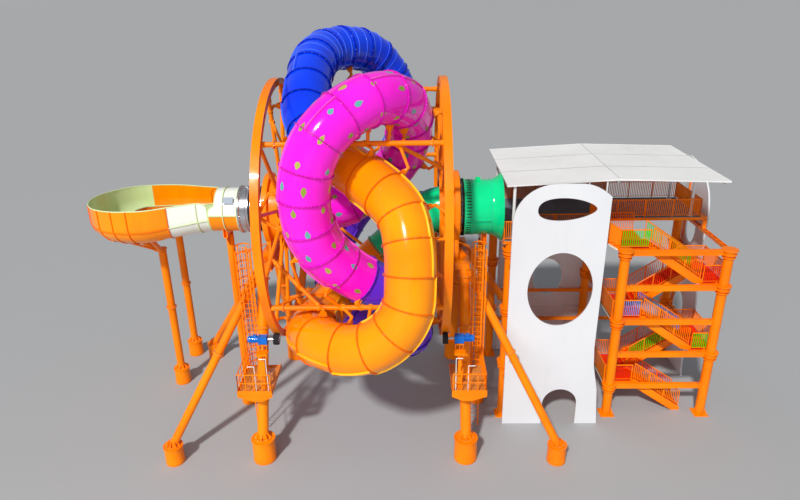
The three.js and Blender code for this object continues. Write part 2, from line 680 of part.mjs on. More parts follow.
function rightLanding(level) {
  const z = level * halfStorey;
  const [x0, x1] = rightLandingX;
  const corner = [columnX[2] - flatHalf - 120, columnX[2] - flatHalf];
  const pieces = landingSlab(rightLandingX, z, columnX[2], corner);
  pieces.push(...railing([[x0 + 30, landingFront + 30], [x1 - 30, landingFront + 30],
    [x1 - 30, landingBack - 30], [x0 + 30, landingBack - 30]], z));
  return join(pieces).subtract(cutForColumns);
}

[1, 3].forEach((level) => add(`stair_landing_left_${level}`, leftLanding(level), materials.orangePaint));
[2, 4].forEach((level) => add(`stair_landing_right_${level}`, rightLanding(level), materials.orangePaint));

// A flight as a folded plate of treads and risers between two railings.
function flight(level) {
  const risesLeft = level % 2 === 0;
  const rise = halfStorey / stepsPerFlight;
  const run = flightRun / stepsPerFlight;
  const outline = new THREE.Shape();
  outline.moveTo(0, 0);
  for (let i = 0; i < stepsPerFlight; i += 1) {
    outline.lineTo(i * run, (i + 1) * rise);
    outline.lineTo((i + 1) * run, (i + 1) * rise);
  }
  outline.lineTo(flightRun, halfStorey - 260);
  outline.lineTo(2 * run, 0);
  outline.closePath();
  const [y0, y1] = risesLeft ? frontLaneY : rearLaneY;
  const geometry = new THREE.ExtrudeGeometry(outline, { depth: flightWidth, bevelEnabled: false });
  geometry.rotateX(Math.PI / 2);
  geometry.translate(0, y1, 0);
  if (risesLeft) {
    geometry.rotateZ(Math.PI);
    geometry.translate(rightLandingX[0] - seatGap, y0 + y1, 0);
  } else {
    geometry.translate(leftLandingX[1] + seatGap, 0, 0);
  }
  geometry.translate(0, 0, level * halfStorey);
  const shrink = (flightRun - 2 * seatGap) / flightRun;
  const anchor = risesLeft ? rightLandingX[0] - seatGap : leftLandingX[1] + seatGap;
  geometry.translate(-anchor, 0, 0).scale(shrink, 1, 1).translate(anchor, 0, 0);
  const slope = halfStorey / flightRun;
  const foot = risesLeft ? rightLandingX[0] - 200 : leftLandingX[1] + 200;
  const head = risesLeft ? leftLandingX[1] + 200 : rightLandingX[0] - 200;
  const z0 = level * halfStorey + 200 * slope + rise;
  const z1 = (level + 1) * halfStorey - 200 * slope + rise;
  const rails = [];
  for (const y of [y0 + 30, y1 - 30]) {
    rails.push(bar([foot, y, z0 + railHeight], [head, y, z1 + railHeight], 36, 4));
    for (let k = 0; k <= 2; k += 1) {
      const x = foot + ((head - foot) * k) / 2;
      const z = z0 + ((z1 - z0) * k) / 2;
      rails.push(rail([x, y, z - rise], [x, y, z + railHeight], 24));
    }
  }
  return solid(geometry).add(join(rails));
}

for (let level = 0; level < 5; level += 1) {
  add(`stair_flight_${level + 1}`, flight(level), materials.redTread);
}

// The launch deck wraps the stairwell, with the last landing and steps up to it.
const deckX = [housingEnd + seatGap, 19800];
const wellX = leftLandingX[0] - 1000;
const deckFront = -1675;
const deckRear = 5900;

function launchDeck() {
  const pieces = [
    block(deckX[0], wellX, deckFront, deckRear, deckBottom, deckTop),
    block(wellX - 50, deckX[1], landingBack + 60, deckRear, deckBottom, deckTop),
    ...railing([[deckX[0] + 60, deckFront + 60], [wellX - 60, deckFront + 60]], deckTop),
    ...railing([[wellX + 100, landingBack + 120], [deckX[1] - 60, landingBack + 120],
      [deckX[1] - 60, deckRear - 60], [deckX[0] + 60, deckRear - 60]], deckTop),
  ];
  const [beamX0, beamX1] = [columnX[2] - 100, columnX[2] + 100];
  const ringTop = 5 * halfStorey;
  pieces.push(
    block(deckX[1] - 50, beamX1, landingBack + 60, columnY[1] - 600, deckBottom, deckTop),
    block(beamX0, beamX1, landingBack + 60, landingBack + 260, ringTop - 50, deckBottom + 50),
    block(beamX0, beamX1, columnY[0] + flatHalf, columnY[1] - flatHalf, ringTop - 200, ringTop),
  );
  const rise = (deckTop - 5 * halfStorey) / 4;
  for (let i = 0; i < 3; i += 1) {
    pieces.push(block(wellX - 20, leftLandingX[0] + 20 - i * 320, landingFront, landingBack - 200,
      5 * halfStorey - 100 + i * rise, 5 * halfStorey + (i + 1) * rise));
  }
  return join(pieces).add(leftLanding(5));
}

add("launch_deck", launchDeck(), materials.orangePaint);

// Canopy: a shallow gabled roof on slim posts that stand on the deck.
const roofX = [7750, 19400];
const roofY = [-1600, 6800];
const ridgeX = 13600;
const roofThickness = 90;
const canopyPostRadius = 90;
const canopyPosts = [[8200, -1350], [8200, 5600], [ridgeX, 5600], [19250, 2200], [19250, 5600]];

function roofUnderside(x) {
  const [eavesX, eavesHeight] = x < ridgeX ? [roofX[0], leftEavesHeight] : [roofX[1], rightEavesHeight];
  return THREE.MathUtils.mapLinear(x, eavesX, ridgeX, eavesHeight, ridgeHeight) - roofThickness;
}

function canopyRoof() {
  const outline = new THREE.Shape();
  outline.moveTo(roofX[0], leftEavesHeight);
  outline.lineTo(ridgeX, ridgeHeight);
  outline.lineTo(roofX[1], rightEavesHeight);
  outline.lineTo(roofX[1], rightEavesHeight - roofThickness);
  outline.lineTo(ridgeX, ridgeHeight - roofThickness);
  outline.lineTo(roofX[0], leftEavesHeight - roofThickness);
  outline.closePath();
  const geometry = new THREE.ExtrudeGeometry(outline, { depth: roofY[1] - roofY[0], bevelEnabled: false });
  geometry.rotateX(Math.PI / 2);
  geometry.translate(0, roofY[1], 0);
  const posts = canopyPosts.map(([x, y]) => bar([x, y, deckTop + seatGap],
    [x, y, roofUnderside(x) + roofThickness / 2], canopyPostRadius));
  return solid(geometry).add(join(posts));
}

add("canopy_roof", canopyRoof(), materials.roofSheet);

// Extrudes an outline of X and Z into a plate that stands across Y.
function plateAcross(outline, [y0, y1]) {
  const geometry = new THREE.ExtrudeGeometry(outline,
    { depth: y1 - y0, bevelEnabled: false, curveSegments: 10 });
  geometry.rotateX(Math.PI / 2);
  return geometry.translate(0, y1, 0);
}

// Front panel: a tall white plate with rounded shoulders and three openings.
const panelX = [8000, 13000];
const panelY = [-2400, -2280];
const panelTop = 14800;

function frontPanel() {
  const outline = new THREE.Shape();
  outline.moveTo(panelX[0], 0);
  outline.lineTo(13600, 0);
  outline.lineTo(13400, 2400);
  outline.lineTo(13080, 4000);
  outline.lineTo(panelX[1], 5200);
  outline.lineTo(panelX[1] + 50, 14100);
  outline.bezierCurveTo(12700, 14400, 12200, panelTop - 20, 11500, panelTop);
  outline.lineTo(10300, panelTop);
  outline.bezierCurveTo(9000, panelTop, panelX[0] + 50, 13900, panelX[0], 12700);
  outline.closePath();
  const eye = new THREE.Path();
  eye.moveTo(9280, 13400);
  eye.bezierCurveTo(9280, 13900, 9900, 14080, 10700, 14050);
  eye.bezierCurveTo(11500, 14020, 12350, 13700, 12350, 13420);
  eye.bezierCurveTo(12350, 13150, 11300, 12800, 10500, 12800);
  eye.bezierCurveTo(9700, 12800, 9280, 13000, 9280, 13400);
  const oval = new THREE.Path().absellipse(10775, 8800, 1775, 2200, 0, 2 * Math.PI);
  outline.holes.push(eye, oval);
  const doorway = join([block(10300, 12300, panelY[0] - 50, panelY[1] + 50, -50, 1500),
    bar([11300, panelY[0] - 50, 1400], [11300, panelY[1] + 50, 1400], 1000, 16)]);
  const brackets = [3000, 6000, 10000].map((z) => block(8040, 8160, panelY[1] - 40, columnY[0] - flatHalf,
    z - 100, z + 100));
  brackets.push(block(11400, 11520, panelY[1] - 40, deckFront - seatGap, deckBottom + 20, deckTop - 20));
  return solid(plateAcross(outline, panelY)).subtract(doorway).add(join(brackets));
}

add("front_panel", frontPanel(), materials.whitePanel);

// The rear panel stands behind the deck, and the side panel closes the rear right corner.
const rearPanelX = [8600, 15400];
const rearPanelY = [6200, 6300];
const sidePanelX = [20540, 20640];
const sidePanelRear = 6300;
const linkHalf = 80;

function rearPanel() {
  const [x0, x1] = rearPanelX;
  const top = 13200;
  const outline = new THREE.Shape();
  outline.moveTo(x0, 0).lineTo(x1, 0).lineTo(x1, top).lineTo(x0, top).closePath();
  const lowerHole = new THREE.Path().absellipse(12000, 5700, 1000, 1350, 0, 2 * Math.PI);
  const upperHole = new THREE.Path().absellipse(11600, 9300, 800, 800, 0, 2 * Math.PI);
  const sideHole = new THREE.Path().absellipse(10100, 7000, 650, 1300, 0, 2 * Math.PI);
  outline.holes.push(lowerHole, upperHole, sideHole);
  const linkZ = (deckTop + deckBottom) / 2;
  const links = [x0 + 800, x1 - 1100].map((x) => block(x - linkHalf, x + linkHalf, deckRear + seatGap,
    rearPanelY[0] + 20, linkZ - linkHalf, linkZ + linkHalf));
  return solid(plateAcross(outline, rearPanelY)).add(join(links));
}

function sidePanel() {
  const outline = new THREE.Shape();
  outline.moveTo(2600, 0);
  outline.bezierCurveTo(3400, 2500, 1500, 4200, 2600, 6600);
  outline.bezierCurveTo(3700, 8600, 1900, 10400, 3100, 12600);
  outline.quadraticCurveTo(4100, 14000, sidePanelRear, 14100);
  outline.lineTo(sidePanelRear, 0);
  outline.closePath();
  const upperHole = new THREE.Path().absellipse(4700, 9800, 700, 1000, 0, 2 * Math.PI);
  const lowerHole = new THREE.Path().absellipse(4700, 4200, 750, 1100, 0, 2 * Math.PI);
  outline.holes.push(upperHole, lowerHole);
  const geometry = plateAcross(outline, [-sidePanelX[1], -sidePanelX[0]]);
  geometry.rotateZ(Math.PI / 2);
  const links = [halfStorey, 3 * halfStorey, 5 * halfStorey].map((z) => block(columnX[2] + flatHalf,
    sidePanelX[0] + 20, columnY[1] - linkHalf, columnY[1] + linkHalf, z - linkHalf, z + linkHalf));
  return solid(geometry).add(join(links));
}

add("rear_panel", rearPanel(), materials.whitePanel);
add("side_panel", sidePanel(), materials.whitePanel);

// The part's own frame has its origin on the ground at the middle of the footprint.
const box = new THREE.Box3().setFromObject(assembly);
const centre = box.getCenter(new THREE.Vector3());
assembly.position.set(-Math.round(centre.x), -Math.round(centre.y), 0);
const slide = new THREE.Group();
slide.add(assembly);

export default slide;
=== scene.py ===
import json
import math

import bpy
import numpy as np
from mathutils import Matrix, Vector


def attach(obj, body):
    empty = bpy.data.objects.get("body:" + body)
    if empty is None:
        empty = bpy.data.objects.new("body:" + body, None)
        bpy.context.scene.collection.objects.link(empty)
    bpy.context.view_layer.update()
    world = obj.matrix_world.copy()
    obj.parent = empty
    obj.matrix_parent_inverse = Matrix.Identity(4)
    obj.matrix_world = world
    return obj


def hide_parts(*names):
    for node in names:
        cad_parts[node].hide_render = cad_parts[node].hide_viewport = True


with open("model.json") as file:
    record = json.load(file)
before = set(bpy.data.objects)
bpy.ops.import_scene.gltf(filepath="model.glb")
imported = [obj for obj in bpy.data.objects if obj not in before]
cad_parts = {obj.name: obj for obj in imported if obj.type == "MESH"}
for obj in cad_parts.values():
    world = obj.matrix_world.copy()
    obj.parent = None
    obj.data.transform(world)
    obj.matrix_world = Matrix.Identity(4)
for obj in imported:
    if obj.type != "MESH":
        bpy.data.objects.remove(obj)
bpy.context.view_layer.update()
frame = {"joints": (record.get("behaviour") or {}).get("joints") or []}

# Where the camera stands: above and in front of the wheel, looking down at it as the
# photograph does. The places of all pieces are measured from the axle in X and Y, and from
# the ground in Z.
axle = Vector(frame["joints"][0]["pos_m"])
AXLE = (0, 0, axle.z)
X_WAY, Y_WAY, Z_WAY = (1, 0, 0), (0, 1, 0), (0, 0, 1)
PICTURE_WIDTH, FOCAL_PIXELS, SENSOR = 800.0, 637.0, 36.0


def in_scene(name, data):
    """A new object with this data, linked to the scene."""
    made = bpy.data.objects.new(name, data)
    bpy.context.scene.collection.objects.link(made)
    return made


look_right = Vector((0.99979, 0.01418, -0.01456))
look_up = Vector((0.00819, 0.3748, 0.92707))
look_back = Vector((0.01861, -0.927, 0.37461))
camera_data = bpy.data.cameras.new("camera")
camera_data.sensor_width = SENSOR
camera_data.lens = SENSOR * FOCAL_PIXELS / PICTURE_WIDTH
camera_data.clip_end = 15000.0
camera = in_scene("camera", camera_data)
turn = Matrix((look_right, look_up, look_back)).transposed().to_4x4()
camera.matrix_world = Matrix.Translation((axle.x + 2.7, axle.y - 33.94, 24.0)) @ turn
bpy.context.scene.camera = camera

# A soft studio: a grey floor that rises slowly far off, one large warm key from the upper left
# front, a wide fill and an even sky so that the undersides stay readable. The picture's colours
# are kept as plain display values, because the gel coats are far more vivid than most finishes.
bpy.context.scene.view_settings.view_transform = "Standard"


def set_inputs(node, values):
    """Sets a node's inputs by their names."""
    for key, value in values.items():
        node.inputs[key].default_value = value


floor_mesh = bpy.data.meshes.new("floor")
FLAT, FAR, FAR_HEIGHT = 3000, 9000, 160
corners = ((-1, -1), (1, -1), (1, 1), (-1, 1))
floor_mesh.from_pydata(
    [(half * x, half * y, height) for half, height in ((FLAT, 0), (FAR, FAR_HEIGHT)) for x, y in corners],
    [], [(0, 1, 2, 3)] + [(i, 4 + i, 4 + (i + 1) % 4, (i + 1) % 4) for i in range(4)])
floor = in_scene("floor", floor_mesh)
floor_finish = bpy.data.materials.new("pale_floor")
floor_finish.use_nodes = True
set_inputs(floor_finish.node_tree.nodes["Principled BSDF"],
           {"Base Color": (0.38, 0.39, 0.4, 1), "Roughness": 0.9})
floor_mesh.materials.append(floor_finish)

sun_data = bpy.data.lights.new("key_sun", "SUN")
sun_data.energy = 3.1
sun_data.angle = math.radians(4)
sun_data.color = (1.0, 0.985, 0.96)
in_scene("key_sun", sun_data).rotation_euler = (math.radians(43), math.radians(-21), 0)
fill_data = bpy.data.lights.new("front_fill", "AREA")
fill_data.energy = 6000
fill_data.shape = "RECTANGLE"
fill_data.size = 40
fill_data.size_y = 16
fill = in_scene("front_fill", fill_data)
towards = Vector((-12, -42, 4)).to_track_quat("Z", "Y").to_matrix().to_4x4()
fill.matrix_world = Matrix.Translation((axle.x - 12, axle.y - 42, 16)) @ towards
fill.visible_glossy = False
sky = bpy.data.worlds.new("even_sky")
sky.use_nodes = True
set_inputs(sky.node_tree.nodes["Background"], {"Color": (0.92, 0.95, 1.0, 1), "Strength": 0.33})
bpy.context.scene.world = sky

# The riding tube: gel-coated glass fibre half shells, bolted together through upstand
# flanges across the tube at every segment end, and through a fin along each side. The fins
# and ribs are a lighter tone, which is painted highlight, and the ring flanges a darker tone,
# which is painted shade.
TUBE_RADIUS = 1.195
TUBE_WALL = 0.035
SEGMENT = 1.45
TUBE_SIDES = 56
TUBE_END, TUBE_STEP, FLANGE_BOLTS = 4.98, 0.16, 20
SHELL_FOOT, FIN_TOP, FIN_HALF, SEAM = TUBE_RADIUS - 0.01, TUBE_RADIUS + 0.085, 0.032, 0.004
RIB_TOP, BOLT_LINE = TUBE_RADIUS + 0.035, TUBE_RADIUS + 0.045
tube_route = {
    "green": [(5.6, 0, 0), (4.9, 0, 0), (4.3, 0, -0.03), (3.6, 0.12, -0.35), (2.85, 0.4, -1.05),
        (2.1, 0.7, -1.95), (1, 0.9, -3.05)],
    "orange": [(-0.5, -0.1, -4.15), (-1.8, -1.9, -4.85), (-2.4, -3.8, -5.05), (-2.4, -5.8, -4.75),
        (-1.61, -7.3, -4.4), (-0.43, -8, -4.38), (0.82, -8.3, -4.04), (1.9, -8.3, -3.21),
        (2.5, -8.1, -2.14), (2.62, -7.8, -0.88), (2.6, -7.3, 0.48), (2.26, -6.4, 1.74),
        (1.28, -5.3, 2.56), (-0.15, -4.1, 3.27), (-1.59, -3, 4.1)],
    "blue": [(-2.55, -1.6, 5.33), (-2.68, 0, 6.5), (-2.6, 2, 7.51), (-2.17, 4, 8.07),
        (-0.93, 5.6, 8.16), (0.29, 6.8, 7.7), (1.29, 7.5, 6.52), (2.05, 7.74, 4.85), (2.4, 7.76, 3.05),
        (1.7, 7.7, 1.05)],
    "purple": [(0.2, 7.6, -1.05), (-1.5, 7.2, -3.05), (-2.5, 6.2, -4.95), (-2.5, 4.5, -6.55),
        (-1.2, 2.5, -7.55), (0.7, 0.6, -7.85), (2.1, -1.3, -7.45), (2.6, -3, -5.95),
        (2.2, -4.1, -4.05), (0.97, -4.8, -2.63)],
    "magenta": [(-0.34, -5.4, -1.53), (-1.47, -6, -0.21), (-2.04, -6.5, 1.48), (-2.07, -6.7, 3.15),
        (-1.58, -6.6, 4.84), (-0.65, -6.1, 5.95), (0.53, -5.2, 6.61), (1.65, -4, 6.64),
        (2.45, -2.5, 5.92), (2.6, -0.9, 4.42), (2.1, 0.1, 2.8), (0.95, 0.5, 1.45), (-0.7, 0.2, 0.35),
        (-2.6, 0, 0), (-4.6, 0, 0), (-5.6, 0, 0)],
}


def smooth_line(points, per_span):
    """A centripetal spline through points, as many short straight steps."""
    p = [np.array(q, float) for q in points]
    p = [2 * p[0] - p[1]] + p + [2 * p[-1] - p[-2]]
    line = []
    for a, b, c, d in zip(p, p[1:], p[2:], p[3:]):
        t0 = 0.0
        t1 = t0 + max(np.linalg.norm(b - a), 1e-6) ** 0.5
        t2 = t1 + max(np.linalg.norm(c - b), 1e-6) ** 0.5
        t3 = t2 + max(np.linalg.norm(d - c), 1e-6) ** 0.5
        for k in range(per_span):
            t = t1 + (t2 - t1) * k / per_span
            u = (t1 - t) / (t1 - t0) * a + (t - t0) / (t1 - t0) * b
            v = (t2 - t) / (t2 - t1) * b + (t - t1) / (t2 - t1) * c
            w = (t3 - t) / (t3 - t2) * c + (t - t2) / (t3 - t2) * d
            m = (t2 - t) / (t2 - t0) * u + (t - t0) / (t2 - t0) * v
            n = (t3 - t) / (t3 - t1) * v + (t - t1) / (t3 - t1) * w
            line.append((t2 - t) / (t2 - t1) * m + (t - t1) / (t2 - t1) * n)
    line.append(p[-2])
    return np.array(line)


def even_steps(line, step):
    """The same line at equal steps, with its direction at each point."""
    lengths = np.concatenate([[0], np.cumsum(np.linalg.norm(np.diff(line, axis=0), axis=1))])
    count = max(2, int(round(lengths[-1] / step)))
    at = np.linspace(0, lengths[-1], count + 1)
    points = np.stack([np.interp(at, lengths, line[:, i]) for i in range(3)], axis=1)
    ahead = np.gradient(points, axis=0)
    ahead /= np.linalg.norm(ahead, axis=1)[:, None]
    return points, ahead, at


def side_vectors(ahead, first):
    """Two directions across the line at each point, carried along without twist."""
    u = np.array(first, float)
    us = []
    for t in ahead:
        u = u - t * (u @ t)
        u /= np.linalg.norm(u)
        us.append(u)
    us = np.array(us)
    return us, np.cross(ahead, us)


def about(middle, half):
    """The two ends of a length that is centred on middle."""
    return (middle - half, middle + half)


def ray(q):
    """The direction at angle q about the axle, from the rear towards the top."""
    return np.array((0, math.cos(q), math.sin(q)))


def circle(radius, sides):
    """The corners of an even polygon about the origin."""
    angles = [2 * math.pi * i / sides for i in range(sides)]
    return [(radius * math.cos(a), radius * math.sin(a)) for a in angles]


def square_to(axis):
    """The axis at length 1, and two directions square to it."""
    t = np.array(axis, float)
    t /= np.linalg.norm(t)
    u = np.cross(t, Z_WAY if abs(t[2]) < 0.9 else X_WAY)
    u /= np.linalg.norm(u)
    return t, u, np.cross(t, u)


class Piece:
    """Collects the faces of one piece. X and Y are from the axle, Z is from the ground."""

    def __init__(self):
        self.points, self.faces, self.kinds = [], [], []

    def put(self, points, faces, kind=0):
        """Adds faces. kind is the number of their finish, or a list with one number per face."""
        base = len(self.points)
        self.points.extend([tuple(p) for p in points])
        self.faces.extend([tuple(base + i for i in face) for face in faces])
        self.kinds.extend(kind if isinstance(kind, list) else [kind] * len(faces))

    def sweep(self, points, u, v, section, kind, ends=True):
        """Carries a closed section of (u, v) pairs along points. The section runs anticlockwise."""
        n, k = len(points), len(section)
        made = [points[i] + a * u[i] + b * v[i] for i in range(n) for a, b in section]
        faces = []
        for a in range(0, (n - 1) * k, k):
            for m in range(k):
                m2 = (m + 1) % k
                faces.append((a + m, a + m2, a + k + m2, a + k + m))
        if ends:
            faces.append(tuple(reversed(range(k))))
            faces.append(tuple((n - 1) * k + m for m in range(k)))
        self.put(made, faces, kind)

    def pipe(self, path, radius, sides, kind=0):
        """A round bar or a pipe along a path of points, mitred at its corners."""
        p = np.array(path, float)
        steps = np.diff(p, axis=0)
        steps /= np.linalg.norm(steps, axis=1)[:, None]
        ahead = np.concatenate([steps[:1], steps[:-1] + steps[1:], steps[-1:]])
        ahead /= np.linalg.norm(ahead, axis=1)[:, None]
        u, v = side_vectors(ahead, Z_WAY if abs(ahead[0][2]) < 0.9 else X_WAY)
        self.sweep(p, u, v, circle(radius, sides), kind)

    def box(self, x, y, z, kind=0):
        (x0, x1), (y0, y1), (z0, z1) = sorted(x), sorted(y), sorted(z)
        c = [(x0, y0, z0), (x1, y0, z0), (x1, y1, z0), (x0, y1, z0),
             (x0, y0, z1), (x1, y0, z1), (x1, y1, z1), (x0, y1, z1)]
        sides = [(0, 1, 5, 4), (1, 2, 6, 5), (2, 3, 7, 6), (3, 0, 4, 7)]
        self.put(c, [(0, 3, 2, 1), (4, 5, 6, 7)] + sides, kind)

    def beam(self, start, end, width, depth, kind=0, up=Z_WAY):
        """A square-edged bar between two points; depth runs along up."""
        a, b = np.array(start, float), np.array(end, float)
        t = (b - a) / np.linalg.norm(b - a)
        side = np.cross(t, np.array(up, float))
        side /= np.linalg.norm(side)
        high = np.cross(side, t)
        w, d = width / 2, depth / 2
        self.sweep(np.array([a, b]), np.array([side, side]), np.array([high, high]),
                   [(-w, -d), (w, -d), (w, d), (-w, d)][::-1], kind)

    def turned(self, centre, axis, profile, sides, kind=0):
        """A ring or a drum about axis through centre, from a closed profile of (along, radius)."""
        t, u, v = square_to(axis)
        angles = [2 * math.pi * i / sides for i in range(sides)]
        points = [np.array(centre) + a * t + r * (math.cos(q) * u + math.sin(q) * v)
                  for q in angles for a, r in profile]
        k = len(profile)
        area = sum(a0 * r1 - a1 * r0 for (a0, r0), (a1, r1) in zip(profile, profile[1:] + profile[:1]))
        faces = []
        for i in range(sides):
            j = (i + 1) % sides
            for m in range(k):
                m2 = (m + 1) % k
                face = (i * k + m, j * k + m, j * k + m2, i * k + m2)
                faces.append(face[::-1] if area > 0 else face)
        self.put(points, faces, kind)

    def band(self, centre, axis, along, radii, sides, kind=0):
        """A plain ring: its two ends along the axis, and its bore and outside radius."""
        (low, high), (bore, rim) = along, radii
        self.turned(centre, axis, [(low, bore), (low, rim), (high, rim), (high, bore)], sides, kind)

    def thin_shell(self, first, second, kinds_at, edge_kind):
        """A shell between two grids of rows. kinds_at(row, column) gives its two finishes there."""
        n, k = len(first), len(first[0])
        layer = n * k
        faces, kinds = [], []
        for i in range(n - 1):
            for m in range(k - 1):
                a = i * k + m
                b, c, d = a + 1, a + k + 1, a + k
                faces += [(d, c, b, a), (layer + a, layer + b, layer + c, layer + d)]
                kinds += kinds_at(i, m)
        for m, turn in ((0, 1), (k - 1, -1)):
            for a in range(m, (n - 1) * k, k):
                faces.append((a, layer + a, layer + a + k, a + k)[::turn])
        for i, turn in ((0, 1), (n - 1, -1)):
            for a in range(i * k, i * k + k - 1):
                faces.append((a, a + 1, layer + a + 1, layer + a)[::turn])
        kinds += [edge_kind] * (len(faces) - len(kinds))
        self.put([q for grid in (first, second) for row in grid for q in row], faces, kinds)

    def plate(self, outline, thickness, origin, across, up, kind=0):
        """A flat plate: outline is (across, up) pairs, and the thickness lies behind origin."""
        o, a, b = (np.array(q, float) for q in (origin, across, up))
        n = np.cross(a, b)
        front = [o + x * a + y * b for x, y in outline]
        back = [p - thickness * n for p in front]
        k = len(outline)
        area = sum(x0 * y1 - x1 * y0 for (x0, y0), (x1, y1) in zip(outline, outline[1:] + outline[:1]))
        order = list(range(k)) if area > 0 else list(range(k))[::-1]
        faces = [tuple(order), tuple(k + i for i in reversed(order))]
        for i, j in zip(order, order[1:] + order[:1]):
            faces.append((i, k + i, k + j, j))
        self.put(front + back, faces, kind)

    def finish(self, name, ending, finishes, slot, body="base", sharp=32, node=None):
        """Makes the object name_ending. It replaces the node called name, or node if that is given.
        An empty node means that it replaces none."""
        mesh = bpy.data.meshes.new(f"{name}_{ending}")
        mesh.from_pydata([(x + axle.x, y + axle.y, z) for x, y, z in self.points], [], self.faces)
        for one in finishes:
            mesh.materials.append(one)
        mesh.polygons.foreach_set("material_index", self.kinds)
        mesh.polygons.foreach_set("use_smooth", [True] * len(self.faces))
        mesh.set_sharp_from_angle(angle=math.radians(sharp))
        mesh.update()
        made = in_scene(mesh.name, mesh)
        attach(made, body)
        if node is None or node:
            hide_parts(node or name)


def finish_of(name, colour, deep, roughness, coat=0.0, metal=0.0, grain=0.0, streaks=0.15, scale=1.0):
    """A finish whose colour drifts between two tones, with faint rain streaks and a fine surface."""
    made = bpy.data.materials.new(name)
    made.use_nodes = True
    tree = made.node_tree
    shader = tree.nodes["Principled BSDF"]
    set_inputs(shader, {"Metallic": metal, "Coat Weight": coat, "Coat Roughness": 0.06,
                        "Specular IOR Level": 0.5 if metal else 0.18})
    place = tree.nodes.new("ShaderNodeTexCoord")

    def noise(size, stretch=(1, 1, 1), detail=3.0):
        mapping = tree.nodes.new("ShaderNodeMapping")
        set_inputs(mapping, {"Scale": stretch})
        tree.links.new(place.outputs["Object"], mapping.inputs["Vector"])
        made_noise = tree.nodes.new("ShaderNodeTexNoise")
        set_inputs(made_noise, {"Scale": size, "Detail": detail})
        tree.links.new(mapping.outputs["Vector"], made_noise.inputs["Vector"])
        return made_noise.outputs["Fac"]

    def spread(value, low, high, out_low=0.0, out_high=1.0):
        node = tree.nodes.new("ShaderNodeMapRange")
        tree.links.new(value, node.inputs["Value"])
        set_inputs(node, {"From Min": low, "From Max": high, "To Min": out_low, "To Max": out_high})
        return node.outputs["Result"]

    def blended(factor, first, second):
        node = tree.nodes.new("ShaderNodeMix")
        node.data_type = "RGBA"
        for socket, value in (("Factor", factor), ("A", first), ("B", second)):
            target = next(s for s in node.inputs if s.name == socket and s.enabled)
            if hasattr(value, "links"):
                tree.links.new(value, target)
            else:
                target.default_value = value
        return next(s for s in node.outputs if s.enabled)

    drift = spread(noise(0.35 * scale, detail=2.0), 0.35, 0.68)
    base = blended(drift, (*colour, 1), (*deep, 1))
    rain = spread(noise(2.2 * scale, (1.6, 1.6, 0.18), 4.0), 0.56, 0.78, 0.0, streaks)
    base = blended(rain, base, tuple(0.45 * c for c in deep) + (1,))
    specks = spread(noise(14 * scale, detail=5.0), 0.66, 0.74, 0.0, streaks * 1.6)
    base = blended(specks, base, tuple(0.3 * c + 0.03 for c in deep) + (1,))
    tree.links.new(base, shader.inputs["Base Color"])
    tree.links.new(spread(noise(1.7 * scale, detail=4.0), 0.3, 0.7, roughness * 0.8, roughness * 1.35),
                   shader.inputs["Roughness"])
    bump = tree.nodes.new("ShaderNodeBump")
    set_inputs(bump, {"Strength": 0.12 + grain, "Distance": 0.006})
    tree.links.new(noise(scale * (45 if grain else 9)), bump.inputs["Height"])
    tree.links.new(bump.outputs["Normal"], shader.inputs["Normal"])
    return made


# One Geometry Nodes tree sets out every repeated fitting: it puts an item on each marked
# point, turned and sized as the point says, and makes them real.
set_out = bpy.data.node_groups.new("set_out", "GeometryNodeTree")
for label, kind in (("Points", "NodeSocketGeometry"), ("Item", "NodeSocketObject"),
                    ("Size", "NodeSocketFloat"), ("Finish", "NodeSocketMaterial")):
    set_out.interface.new_socket(label, in_out="INPUT", socket_type=kind)
set_out.interface.new_socket("Fittings", in_out="OUTPUT", socket_type="NodeSocketGeometry")
given = set_out.nodes.new("NodeGroupInput")
result = set_out.nodes.new("NodeGroupOutput")
item = set_out.nodes.new("GeometryNodeObjectInfo")
turned_by, sized_by = (set_out.nodes.new("GeometryNodeInputNamedAttribute") for _ in range(2))
for node, attribute in ((turned_by, "turn"), (sized_by, "stretch")):
    node.data_type = "FLOAT_VECTOR"
    set_inputs(node, {"Name": attribute})
scaled = set_out.nodes.new("ShaderNodeVectorMath")
scaled.operation = "SCALE"
to_rotation = set_out.nodes.new("FunctionNodeEulerToRotation")
on_points = set_out.nodes.new("GeometryNodeInstanceOnPoints")
real = set_out.nodes.new("GeometryNodeRealizeInstances")
painted = set_out.nodes.new("GeometryNodeSetMaterial")
for source, target in (
    (given.outputs["Points"], on_points.inputs["Points"]),
    (given.outputs["Item"], item.inputs["Object"]),
    (item.outputs["Geometry"], on_points.inputs["Instance"]),
    (turned_by.outputs["Attribute"], to_rotation.inputs["Euler"]),
    (to_rotation.outputs["Rotation"], on_points.inputs["Rotation"]),
    (sized_by.outputs["Attribute"], scaled.inputs[0]),
    (given.outputs["Size"], scaled.inputs["Scale"]),
    (scaled.outputs["Vector"], on_points.inputs["Scale"]),
    (on_points.outputs["Instances"], real.inputs["Geometry"]),
    (real.outputs["Geometry"], painted.inputs["Geometry"]),
    (given.outputs["Finish"], painted.inputs["Material"]),
    (painted.outputs["Geometry"], result.inputs["Fittings"]),
):
    set_out.links.new(source, target)


def item_mesh(name, fill):
    """A small piece made about its own origin, used only as the item that is set out."""
    shape = Piece()
    fill(shape)
    mesh = bpy.data.meshes.new(name)
    mesh.from_pydata(shape.points, [], shape.faces)
    mesh.polygons.foreach_set("use_smooth", [True] * len(shape.faces))
    mesh.set_sharp_from_angle(angle=math.radians(35))
    return bpy.data.objects.new(name, mesh)


